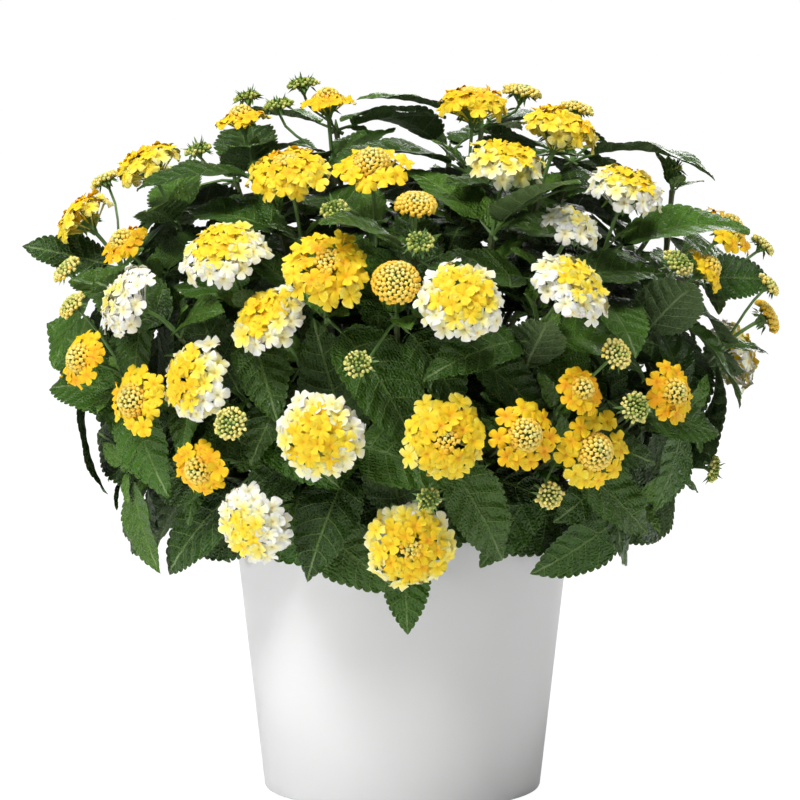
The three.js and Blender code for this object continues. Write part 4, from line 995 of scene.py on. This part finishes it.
def add_florets(gathered, dome, polar, azimuth, radius, colour, upward):
    """Open florets on a dome, each turned a little to the head's face, so inner ones overlap outer ones."""
    count = len(polar)
    share = 0.96 + 0.07 * rng.random(count)
    stands_out = (rng.random(count) < 0.2) & (polar > math.radians(50))
    middle, normal = dome.at(polar, azimuth, share + 0.12 * stands_out)
    normal = units(normal + dome.head["face"] * upward + rng.normal(0, 0.13, (count, 3)))
    u, v = frames(normal, rng.random(count) * 2 * math.pi)
    pick = rng.integers(0, len(FLORETS), count)
    for which, (form, faces, radial, turn) in enumerate(FLORETS):
        own = np.nonzero(pick == which)[0]
        if not len(own):
            continue
        wide = radius[own] * (0.92 + 0.16 * rng.random(len(own)))
        phase = rng.random((len(own), 1)) * 6.28
        ruffle = 0.14 * np.sin(3 * turn + phase) + 0.10 * np.sin(8 * turn + 2 * phase)
        cup = (0.1 - 0.22 * polar[own] / math.pi * 2 + rng.normal(0.0, 0.11, len(own)))[:, None]
        height = form[:, 2] + (ruffle + cup) * radial**2
        laid = spread_form(form[:, 0], form[:, 1], height, u[own], v[own], normal[own])
        points = middle[own][:, None] + laid * wide[:, None, None]
        place = stacked(height.shape, colour[own][:, None], radial, turn / FULL_TURN)
        gathered.add_copies(points, faces, PETAL_KIND["petal"], place, rng.random((len(own), 1, 3)))
    add_floret_tubes(gathered, dome.head, middle, normal, colour)


def add_floret_tubes(gathered, head, middle, normal, colour):
    """The slender tubes that carry the florets, from the foot of the head to each throat."""
    turn = circle(5)
    base = head["base"] + head["face"] * 1.5
    u, v = frames(normal, np.zeros(len(middle)))
    ring = np.cos(turn)[:, None] * u[:, None] + np.sin(turn)[:, None] * v[:, None]
    foot = base + (middle - base) * 0.12
    bend = base + (middle - base) * 0.62 - normal * 0.8
    rows = ((foot, 0.35), (bend, 0.45), (middle - normal * 0.5, 0.7))
    points = np.concatenate([at[:, None] + ring * wide for at, wide in rows], 1)
    place = stacked(points.shape[:2], colour[:, None], 0.9, 0.9)
    gathered.add_copies(points, ring_faces(3, len(turn)), PETAL_KIND["petal"], place, (0.5, 0.5, 0.5))


def add_buds(gathered, dome, polar, azimuth, half_width, colour, kind, bud=BUD, uneven=0.03):
    form, faces, height = bud
    count = len(polar)
    middle, normal = dome.at(polar, azimuth, 1 - uneven * rng.random(count))
    normal = units(normal + rng.normal(0, 0.04 + uneven, (count, 3)))
    u, v = frames(normal, azimuth + math.pi / 4)
    wide = (half_width * (0.9 + 0.2 * rng.random(count)))[:, None, None]
    points = middle[:, None] + spread_form(form[:, 0], form[:, 1], form[:, 2] * BUD_HIGH, u, v, normal) * wide
    place = stacked(points.shape[:2], colour[:, None], height, 0)
    gathered.add_copies(points, faces, kind, place, rng.random((count, 1, 3)))


# A bract: its points along, across and off its length, and its faces.
BRACT = np.array([
    [0, 0, 0], [0.35, 1, 0.12], [0.35, -1, 0.12], [0.4, 0, 0.0],
    [0.75, 0.55, 0.06], [0.75, -0.55, 0.06], [1, 0, 0.1],
])
BRACT_FACES = [(0, 3, 1), (0, 2, 3), (1, 3, 4), (3, 2, 5), (3, 6, 4), (3, 5, 6)]
GREEN_PLACE = (0.1, 0.4, 0.3)


def add_bracts(gathered, dome, count, polar_degrees, long, wide, kind, drop=0.0):
    """Narrow pointed bracts round the foot of a head or between its buds."""
    face = dome.head["face"]
    azimuth = circle(count) + rng.random() * 6 + rng.normal(0, 0.12, count)
    polar = np.radians(polar_degrees + rng.normal(0, 6, count))
    middle, normal = dome.at(polar, azimuth, 0.45)
    along = units(normal + rng.normal(0, 0.15, (count, 3)))
    across = units(np.cross(face, along))
    each = (long * (0.8 + 0.4 * rng.random(count)))[:, None]
    laid = spread_form(*BRACT.T, along * each, across * wide, np.cross(along, across) * each)
    points = (middle - face * drop)[:, None] + laid
    gathered.add_copies(points, BRACT_FACES, kind, GREEN_PLACE, (0.4, 0.7, 0.5))


def add_cone(gathered, path, radii, kind):
    """The green core under a head's florets or a cluster's buds."""
    turn = circle(8)
    side, third = frame_of(unit(path[-1] - path[0]))
    ring = np.outer(np.cos(turn), side) + np.outer(np.sin(turn), third)
    points = np.concatenate([c + ring * radius for c, radius in zip(path, radii)])
    gathered.add(points, ring_faces(len(path), len(turn), True), kind, GREEN_PLACE, (0.4, 0.6, 0.5))


# Where a floret lies between deep orange yellow (0) and white (1): at the middle and at the rim of
# a head, and how far down from the top the change from one to the other starts and ends.
MIDDLE_COLOUR = ([0, 0.2, 0.5, 0.75, 0.9, 1], [0.08, 0.13, 0.24, 0.38, 0.54, 0.72])
RIM_COLOUR = ([0, 0.3, 0.45, 0.55, 0.7, 0.85, 1], [0.14, 0.27, 0.50, 0.70, 0.90, 0.98, 1.0])
CHANGE_FROM = ([0, 0.5, 0.8, 1], [30, 34, 36, 12])
CHANGE_TO = ([0, 0.5, 0.8, 1], [90, 82, 66, 40])
BUD_END = ([0, 0.1, 0.2, 0.35, 0.5, 0.7, 0.71], [98, 66, 50, 32, 21, 12, 0])
# A floret's radius and the area it takes; young heads have one ring of them round a disc of buds.
FLORET = {"radius": 5.9, "each": 48, "one_ring_below": 0.36, "ring": 9, "bud_disc": 8.4}
FULL_HEAD = 36
SMALL_HEAD = {"width": 21, "bud_end": 92}


def add_bloom(gathered, head, index):
    radius, age, face = head["width"] / 2, head["age"], head["face"]
    small = min(1.0, head["width"] / FULL_HEAD)
    turn = index * 2.4
    floret = FLORET["radius"] * (0.78 + 0.22 * small)
    bud_end = SMALL_HEAD["bud_end"] if head["width"] < SMALL_HEAD["width"] else np.interp(age, *BUD_END)
    is_young = age < FLORET["one_ring_below"]
    if is_young:
        # One ring of separate florets round the buds.
        dome = Dome(head, radius - floret * 0.6, radius * 0.40, radius * 0.3)
        count = round(FLORET["ring"] * (0.85 + age))
        polar = np.radians(82 + rng.normal(0, 6, count))
        azimuth = turn + (np.arange(count) + rng.normal(0, 0.16, count)) * 2 * math.pi / count
        wide, reach, upward = FLORET["bud_disc"] * small if age else radius, 98, 1.5
    else:
        dome = Dome(head, radius * 0.9, radius * 0.54, radius * 0.36)
        polar, azimuth = dome.spread(bud_end, 104, FLORET["each"] * (floret / FLORET["radius"]) ** 2, turn)
        wide, reach, upward = radius * 0.84, bud_end, 0.45
    change_from, change_to = np.interp(age, *CHANGE_FROM), np.interp(age, *CHANGE_TO)
    k = np.clip((np.degrees(polar) - change_from) / (change_to - change_from), 0, 1)
    first, last = np.interp(age, *MIDDLE_COLOUR), np.interp(age, *RIM_COLOUR)
    colour = np.clip(first + (last - first) * (k * k * (3 - 2 * k)) + rng.normal(0, 0.055, len(polar)), 0, 1)
    if age > 0:
        radii = floret * np.interp(np.degrees(polar), [0, 40, 80], [0.84, 0.94, 1.0])
        add_florets(gathered, dome, polar, azimuth, radii, colour, upward)
    inner = Dome(head, wide, radius * 0.5, radius * 0.36)
    if reach:
        polar, azimuth = inner.spread(0, reach, 5.1, turn + 1)
        out = np.degrees(polar) / reach
        ripe = np.clip(np.interp(out, [0, 1], [0.40, 0.72]) + rng.normal(0, 0.06, len(polar)), 0, 1)
        half = np.interp(out, [0, 1], [1.0, 1.42])
        add_buds(gathered, inner, polar, azimuth, half, ripe, PETAL_KIND["bud"])
    add_bracts(gathered, inner, 9, 118, 5.5, 1.0, PETAL_KIND["green"], drop=radius * 0.18)
    foot = head["base"]
    rise = [foot - face * 0.2, foot + face * 2.5, head["middle"] - face * radius * 0.12]
    add_cone(gathered, rise, [1.2, 2.2, radius * 0.42], PETAL_KIND["green"])


def add_cluster(gathered, bud):
    radius, ripe, face, foot = bud["width"] / 2, bud["ripe"], bud["face"], bud["base"]
    dome = Dome(bud, radius * 1.06, radius * 0.46, radius * 0.40)
    polar, azimuth = dome.spread(0, 100, 4.6, rng.random() * 6)
    out = np.degrees(polar)
    colour = np.interp(out, [10, 70], [ripe * 0.5, ripe * 0.55 + 0.16]) + rng.normal(0, 0.05, len(polar))
    half = np.interp(out, [0, 90], [0.70, 1.02]) * (0.9 + 0.2 * ripe)
    add_buds(gathered, dome, polar, azimuth, half, np.clip(colour, 0, 1), KIND["bud"], CLUB, 0.2)
    add_bracts(gathered, dome, 10, 104, 4.5 + 2.5 * (1 - ripe), 0.75, KIND["stalk"])
    if ripe < 0.35:
        add_bracts(gathered, dome, 9, 62, 5.5, 0.6, KIND["stalk"])
    rise = [foot - face * 0.3, foot + face, bud["middle"]]
    add_cone(gathered, rise, [0.8, 1.4, radius * 0.55], KIND["stalk"])


# ---------------------------------------------------------------- materials
class Nodes:
    """Short calls for building one material's nodes."""

    def __init__(self, name):
        self.material = bpy.data.materials.new(name)
        self.material.use_nodes = True
        self.tree = self.material.node_tree
        self.shader = self.tree.nodes["Principled BSDF"]

    def make(self, kind, inputs=None, **settings):
        node = self.tree.nodes.new(kind)
        for key, value in settings.items():
            setattr(node, key, value)
        for key, value in (inputs or {}).items():
            self.put(node.inputs[key], value)
        return node

    def put(self, socket, value):
        if isinstance(value, bpy.types.NodeSocket):
            self.tree.links.new(value, socket)
        else:
            socket.default_value = value

    def math(self, operation, *values, clamp=False):
        inputs = dict(enumerate(values))
        return self.make("ShaderNodeMath", inputs, operation=operation, use_clamp=clamp).outputs[0]

    def plus(self, *values, clamp=False):
        return self.math("ADD", *values, clamp=clamp)

    def minus(self, *values):
        return self.math("SUBTRACT", *values)

    def times(self, *values):
        return self.math("MULTIPLY", *values)

    def off_whole(self, value):
        """How far a number lies from the nearest whole one."""
        return self.math("ABSOLUTE", self.minus(value, self.math("ROUND", value)))

    def smooth(self, value, low, high, start=0.0, end=1.0):
        """start below low, end above high, and a smooth change between."""
        inputs = {"Value": value, "From Min": low, "From Max": high, "To Min": start, "To Max": end}
        return self.make("ShaderNodeMapRange", inputs, interpolation_type="SMOOTHSTEP").outputs["Result"]

    def mix(self, share, first, second):
        return self.make("ShaderNodeMix", {0: share, 6: first, 7: second}, data_type="RGBA").outputs[2]

    def attribute(self, key):
        """The three numbers that the mesh carries under a name."""
        vector = self.make("ShaderNodeAttribute", attribute_name=key).outputs["Vector"]
        return self.make("ShaderNodeSeparateXYZ", {"Vector": vector}).outputs

    def spot(self):
        return self.make("ShaderNodeTexCoord").outputs["Object"]

    def noise(self, scale, detail=3.0, roughness=0.55):
        inputs = {"Vector": self.spot(), "Scale": scale, "Detail": detail, "Roughness": roughness}
        return self.make("ShaderNodeTexNoise", inputs).outputs["Fac"]

    def cells(self, scale):
        inputs = {"Vector": self.spot(), "Scale": scale}
        return self.make("ShaderNodeTexVoronoi", inputs, feature="DISTANCE_TO_EDGE").outputs["Distance"]

    def ramp(self, value, stops):
        node = self.make("ShaderNodeValToRGB", {"Fac": value})
        elements = node.color_ramp.elements
        while len(elements) < len(stops):
            elements.new(0.5)
        for element, (at, *color) in zip(elements, stops):
            element.position = at
            element.color = rgb(*color)
        return node.outputs["Color"]

    def bump(self, height, distance, strength=1.0):
        inputs = {"Height": height, "Distance": distance, "Strength": strength}
        return self.make("ShaderNodeBump", inputs).outputs["Normal"]

    def finish(self, **sockets):
        for key, value in sockets.items():
            self.put(self.shader.inputs[key.replace("_", " ")], value)
        return self.material


def rgb(*color):
    return (*color, 1.0)


RUNGS = 7.5  # small veins to each centimetre across the blade
LEAF_TOP = {
    "dark": rgb(0.005, 0.022, 0.002), "light": rgb(0.037, 0.128, 0.006),
    "fresh": rgb(0.095, 0.215, 0.020), "vein": rgb(0.135, 0.225, 0.050),
    "veins": 0.66, "small_veins": 0.27, "faces": 1.0, "rough": 0.30, "gloss": 0.31,
}
LEAF_UNDER = {
    "dark": rgb(0.060, 0.105, 0.040), "light": rgb(0.100, 0.165, 0.055),
    "fresh": rgb(0.15, 0.26, 0.07), "vein": rgb(0.22, 0.31, 0.13),
    "veins": 0.75, "small_veins": 0.4, "faces": -1.0, "rough": 0.6, "gloss": 0.15,
}
# A near-black green for the painted shade on leaves deep inside the mound.
INSIDE_SHADE_GREEN = rgb(0.004, 0.012, 0.002)


def leaf_material(name, look):
    n = Nodes(name)
    u, w, v = n.attribute("place")
    pick, young, deep = n.attribute("shade")
    # Side veins lie where u is a whole number; each narrows towards the margin.
    off = n.off_whole(u)
    across = n.math("ABSOLUTE", w)
    thin = n.minus(0.062, n.times(across, 0.032))
    side_vein = n.minus(1.0, n.smooth(off, n.times(thin, 0.3), thin))
    side_vein = n.times(side_vein, n.smooth(across, 0.8, 1.0, 1.0, 0.0))
    main_veins = n.math("MAXIMUM", side_vein, n.smooth(v, 0.03, 0.08, 1.0, 0.0))
    # Small veins cross from one side vein to the next like rungs, with a finer net over them.
    net = n.cells(560)
    wander = n.times(n.noise(190, 2.0), 2.6)
    rung = n.off_whole(n.plus(n.plus(n.times(v, RUNGS), n.times(u, 0.6)), wander))
    fine_vein = n.times(n.smooth(net, 0.02, 0.15, 1.0, 0.0), 0.7)
    rung_vein = n.times(n.smooth(rung, 0.03, 0.12, 1.0, 0.0), 0.5)
    small_veins = n.math("MAXIMUM", fine_vein, rung_vein)
    uneven = n.times(n.minus(n.noise(55, 2.0), 0.42), 0.7)
    tone = n.plus(n.times(n.math("POWER", pick, 1.7), 0.85), uneven, clamp=True)
    body = n.mix(tone, look["dark"], look["light"])
    # Painted shade: leaves deep inside the mound are darkened towards a near-black green.
    body = n.mix(n.times(deep, 0.82), body, INSIDE_SHADE_GREEN)
    body = n.mix(young, body, look["fresh"])
    body = n.mix(n.times(small_veins, look["small_veins"]), body, look["vein"])
    body = n.mix(n.times(main_veins, look["veins"]), body, look["vein"])
    body = n.mix(n.smooth(across, 0.955, 1.0, 0.0, 0.35), body, look["vein"])
    # Heights in millimetres: the blade swells between its side veins and a little in each mesh.
    swell = n.times(n.smooth(off, 0.0, 0.5), n.smooth(v, 0.0, 0.5))
    swell = n.times(swell, n.smooth(across, 0.75, 1.0, 1.25, 0.3))
    height = n.plus(swell, n.times(n.smooth(rung, 0.0, 0.42), 0.13))
    height = n.plus(height, n.times(n.smooth(net, 0.0, 0.4), 0.33))
    height = n.minus(height, n.times(main_veins, 0.15))
    normal = n.bump(n.times(height, look["faces"]), 0.0012)
    rough = n.plus(look["rough"], n.times(small_veins, 0.2))
    return n.finish(Base_Color=body, Roughness=rough, Normal=normal, Specular_IOR_Level=look["gloss"])


def stalk_material():
    n = Nodes("stalk")
    young = n.attribute("shade")[1]
    streak = n.noise(300, 3.0)
    wood = n.mix(streak, rgb(0.055, 0.050, 0.028), rgb(0.10, 0.105, 0.045))
    green = n.mix(streak, rgb(0.085, 0.165, 0.040), rgb(0.15, 0.27, 0.075))
    body = n.mix(n.smooth(young, 0.15, 0.75), wood, green)
    normal = n.bump(n.noise(900, 2.0), 0.0002, 0.6)
    return n.finish(Base_Color=body, Roughness=0.55, Normal=normal, Specular_IOR_Level=0.35)


PETAL_STOPS = [
    (0.0, 0.96, 0.41, 0.008), (0.22, 0.97, 0.60, 0.010), (0.48, 0.96, 0.71, 0.035),
    (0.68, 0.93, 0.80, 0.19), (0.84, 0.90, 0.86, 0.50), (1.0, 0.89, 0.88, 0.80),
]
BUD_STOPS = [
    (0.0, 0.10, 0.20, 0.035), (0.20, 0.40, 0.49, 0.10), (0.38, 0.84, 0.75, 0.28),
    (0.50, 0.92, 0.70, 0.15), (0.68, 0.95, 0.58, 0.05), (0.85, 0.96, 0.47, 0.03),
]
SOIL_STOPS = [(0.3, 0.012, 0.007, 0.004), (0.5, 0.045, 0.027, 0.016), (0.7, 0.12, 0.075, 0.045)]


def petal_material(name):
    """Petals run from orange yellow through lemon to white with the colour number of each floret."""
    n = Nodes(name)
    colour, radial, turn = n.attribute("place")
    cloud = n.minus(n.noise(420, 2.0), 0.5)
    edge = n.times(n.minus(radial, 0.7), 0.30)
    body = n.ramp(n.plus(n.plus(colour, edge), n.times(cloud, 0.16), clamp=True), PETAL_STOPS)
    throat = n.smooth(radial, 0.03, 0.16, 1.0, 0.0)
    body = n.mix(n.times(throat, 0.5), body, rgb(0.80, 0.27, 0.010))
    # Fine creases fan out over each lobe from the throat.
    fan = n.math("SINE", n.plus(n.times(turn, 190.0), n.times(n.noise(500, 2.0), 9.0)))
    crease = n.plus(n.noise(1300, 3.0), n.times(n.times(fan, radial), 0.35))
    return n.finish(
        Base_Color=body,
        Roughness=0.55,
        Normal=n.bump(crease, 0.00022, 0.6),
        Specular_IOR_Level=0.25,
        Subsurface_Weight=0.35,
        Subsurface_Scale=0.003,
        Subsurface_Radius=(1.0, 0.8, 0.4),
    )


def bud_material(name):
    n = Nodes(name)
    ripe, height, _ = n.attribute("place")
    wobble = n.times(n.minus(n.attribute("shade")[0], 0.5), 0.12)
    body = n.ramp(n.plus(ripe, wobble, clamp=True), BUD_STOPS)
    body = n.mix(n.smooth(height, 0.0, 0.6, 0.85, 0.0), body, rgb(0.13, 0.17, 0.02))
    return n.finish(
        Base_Color=body,
        Roughness=0.5,
        Normal=n.bump(n.noise(1800, 2.0), 0.0001, 0.5),
        Specular_IOR_Level=0.35,
        Subsurface_Weight=0.3,
        Subsurface_Scale=0.002,
        Subsurface_Radius=(1.0, 0.7, 0.2),
    )


def pot_material():
    n = Nodes("pot_white")
    body = n.mix(n.noise(14, 2.0), rgb(0.68, 0.68, 0.685), rgb(0.71, 0.71, 0.71))
    rough = n.plus(0.30, n.times(n.noise(220, 3.0), 0.08))
    return n.finish(Base_Color=body, Roughness=rough, Normal=n.bump(n.noise(900, 2.0), 0.00003, 0.4))


def soil_material():
    n = Nodes("soil_dark")
    grain = n.noise(320, 5.0, 0.7)
    body = n.ramp(n.plus(n.times(grain, 0.7), n.times(n.noise(70, 3.0), 0.3)), SOIL_STOPS)
    return n.finish(Base_Color=body, Roughness=0.93, Normal=n.bump(grain, 0.0012, 0.9))


def floor_material():
    n = Nodes("floor_pale")
    body = n.mix(n.noise(3, 2.0), rgb(0.93, 0.93, 0.93), rgb(0.95, 0.95, 0.95))
    material = n.finish(Base_Color=body, Roughness=0.9, Specular_IOR_Level=0.0)
    glow = n.make("ShaderNodeEmission", {"Color": rgb(1, 1, 1), "Strength": 1.1})
    share = n.times(n.make("ShaderNodeLightPath").outputs["Is Camera Ray"], 0.9)
    mix = n.make("ShaderNodeMixShader", {0: share, 1: n.shader.outputs[0], 2: glow.outputs[0]})
    n.tree.links.new(mix.outputs[0], n.tree.nodes["Material Output"].inputs["Surface"])
    return material


# ---------------------------------------------------------------- pieces
def hand_in(piece, node):
    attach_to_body(piece, "root")
    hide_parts(node)


STALK = stalk_material()
LEAF_MATERIALS = [leaf_material("leaf_top", LEAF_TOP), leaf_material("leaf_under", LEAF_UNDER)]
FOLIAGE_MATERIALS = LEAF_MATERIALS + [STALK, bud_material("bud_green")]
PETAL_MATERIALS = [petal_material("petal"), bud_material("bud_yellow"), STALK]
MAIN_RINGS = np.linspace(0, 1, 9)
MAIN_FOOT = 20  # how far below its foot a main stem starts

for index, main in enumerate(mains):
    made = Gathered()
    path = [main.foot - UP * MAIN_FOOT] + [bezier(main.path, x) for x in MAIN_RINGS]
    radii = [MAIN["base"]] + [MAIN["base"] + (MAIN["tip"] - MAIN["base"]) * x for x in MAIN_RINGS]
    add_tube(made, path, radii, (rng.random(), 0.15, 0.0), square=0.08)
    for s in shoots:
        if s.stem != index:
            continue
        add_shoot_stalks(made, s)
        if s.bud:
            add_cluster(made, s.bud)
    for row, (host, step) in enumerate(leaves.hosts):
        if host.stem == index:
            add_leaf(made, leaves.one(row), step)
    number = "%02d" % (index + 1)
    hand_in(piece_from("foliage_" + number, made, FOLIAGE_MATERIALS), "leafy_stem_" + number)

for index, s in enumerate(blooms):
    made = Gathered()
    add_bloom(made, s.head, index)
    number = "%02d" % (index + 1)
    node = "flower_head_" + number
    hand_in(piece_from("bloom_" + number, made, PETAL_MATERIALS), node)


def lathe(profile, sides):
    """A turned body from its profile of radius and height; a radius of 0 closes it."""
    points, rings, faces = [], [], []
    for radius, z in profile:
        rings.append(len(points))
        turn = circle(sides) if radius else [0.0]
        points += [(radius * math.cos(a), radius * math.sin(a), z) for a in turn]
    for (r0, _), (r1, _), a, b in zip(profile, profile[1:], rings, rings[1:]):
        for j in range(sides):
            k = (j + 1) % sides
            if r0 and r1:
                faces += [(a + j, a + k, b + k), (a + j, b + k, b + j)]
            elif r1:
                faces.append((a, b + k, b + j))
            else:
                faces.append((a + j, a + k, b))
    return np.array(points), np.array(faces)


LIP_RADIUS = 1.1


def pot_profile():
    """Out along the foot, up the wall, over a rounded lip and down the inside."""
    base, lip_z = POT["base"], POT["height"] - LIP_RADIUS
    outer, inner = pot_radius(lip_z), POT["rim"] - POT["wall"]
    rows = [(0, 0.6), (base - 6, 0.6), (base - 5, 0.0)]
    rows += [(base - 1.2, 0.0), (base - 0.3, 0.3), (base + 0.1, 1.1)]
    rows += [(pot_radius(z), z) for z in np.linspace(6, lip_z, 10)]
    for a in np.radians((30, 60, 90)):
        rows.append((outer - LIP_RADIUS * (1 - math.cos(a)), lip_z + LIP_RADIUS * math.sin(a)))
    for a in np.radians((0, 30, 60, 90)):
        rows.append((inner + LIP_RADIUS * (1 - math.sin(a)), lip_z + LIP_RADIUS * math.cos(a)))
    rows += [(pot_radius(z) - POT["wall"], z) for z in (120, 60, POT["floor"])]
    return rows + [(0, POT["floor"])]


SOIL_RINGS = 34
SOIL_WAVES = ((0.21, 0.3), (0.47, 1.9), (0.93, 4.1), (1.7, 2.2))  # how close, how far shifted


def soil_radius(z):
    return pot_radius(z) - POT["wall"] - 2 * SOIL["gap"]


def soil_surface():
    """The soil's crumbled top, and its plain side and bottom inside the pot."""
    top, wide, n = SOIL["top"], soil_radius(SOIL["top"]), SOIL_RINGS
    rows = [(0, 6.0), (soil_radius(6.0), 6.0), (wide - 0.1, top - 1.5)]
    rows += [(wide * (n - k) / n, top + SOIL["crown"] * k / n) for k in range(n)]
    points, faces = lathe(rows + [(0, top + SOIL["crown"])], 120)
    x, y, z = points.T
    bumps = sum(np.sin(x * f + p) * np.sin(y * f * 1.13 + 2 * p) / f**0.8 for f, p in SOIL_WAVES)
    grit = rng.normal(0, 0.35, len(points))
    near_wall = np.clip((wide - np.hypot(x, y)) / 3, 0, 1)
    points[:, 2] += np.where(z > top - 1, (bumps * 0.9 + grit - 0.4) * near_wall, 0)
    return points, faces


def plain_piece(name, points, faces, material, sharp_degrees):
    made = Gathered()
    made.add(points, faces, 0, (0, 0, 0), (0, 0, 0))
    return piece_from(name, made, [material], sharp_degrees)


hand_in(plain_piece("planter", *lathe(pot_profile(), 160), pot_material(), 50), "pot")
hand_in(plain_piece("potting_soil", *soil_surface(), soil_material(), 70), "soil")


# ---------------------------------------------------------------- floor and light
FLOOR_HALF = 20.0
FLOOR_Z = -0.0002


def add_floor():
    mesh = bpy.data.meshes.new("floor")
    corners = [(x * FLOOR_HALF, y * FLOOR_HALF, 0) for x, y in ((-1, -1), (1, -1), (1, 1), (-1, 1))]
    mesh.from_pydata(corners, [], [(0, 1, 2, 3)])
    mesh.materials.append(floor_material())
    floor = bpy.data.objects.new("floor", mesh)
    floor.location = (0, 0, FLOOR_Z)
    bpy.context.scene.collection.objects.link(floor)
    floor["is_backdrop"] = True


def add_light(name, kind, at, look, watts, **settings):
    data = bpy.data.lights.new(name, kind)
    data.energy = watts
    for key, value in settings.items():
        setattr(data, key, value)
    light = bpy.data.objects.new(name, data)
    light.location = at
    light.rotation_euler = (Vector(look) - Vector(at)).to_track_quat("-Z", "Y").to_euler()
    bpy.context.scene.collection.objects.link(light)


def add_world():
    world = bpy.data.worlds.new("studio")
    world.use_nodes = True
    tree = world.node_tree
    background = tree.nodes["Background"]
    shown = tree.nodes.new("ShaderNodeBackground")
    for node, strength in ((background, 0.17), (shown, 1.0)):
        node.inputs["Color"].default_value = rgb(1, 1, 1)
        node.inputs["Strength"].default_value = strength
    mix = tree.nodes.new("ShaderNodeMixShader")
    tree.links.new(tree.nodes.new("ShaderNodeLightPath").outputs["Is Camera Ray"], mix.inputs[0])
    tree.links.new(background.outputs[0], mix.inputs[1])
    tree.links.new(shown.outputs[0], mix.inputs[2])
    tree.links.new(mix.outputs[0], tree.nodes["World Output"].inputs["Surface"])
    bpy.context.scene.world = world


add_floor()
add_world()
MIDDLE = (0, 0, 0.2)
LIGHTS = (
    ("key", (-1.35, -1.5, 2.1), MIDDLE, 0.8, 0.8, 53),
    ("top", (0.35, -0.7, 2.6), MIDDLE, 0.7, 0.7, 38),
    ("rim", (1.9, 0.5, 0.1), (0, 0, 0.08), 0.5, 0.2, 4),
    ("back", (0.5, 2.0, 0.9), MIDDLE, 1.0, 0.8, 16),
)
for name, at, look, wide, high, watts in LIGHTS:
    add_light(name, "AREA", at, look, watts, shape="RECTANGLE", size=wide, size_y=high)
# A narrow light from the left that leaves the foliage out, so the pot is brighter on that side.
SPOT = {"spot_size": math.radians(8.4), "spot_blend": 0.4, "shadow_soft_size": 0.12}
add_light("pot_side", "SPOT", (-1.45, -1.18, 0.03), (0, 0, 0.052), 68, **SPOT)

low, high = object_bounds()
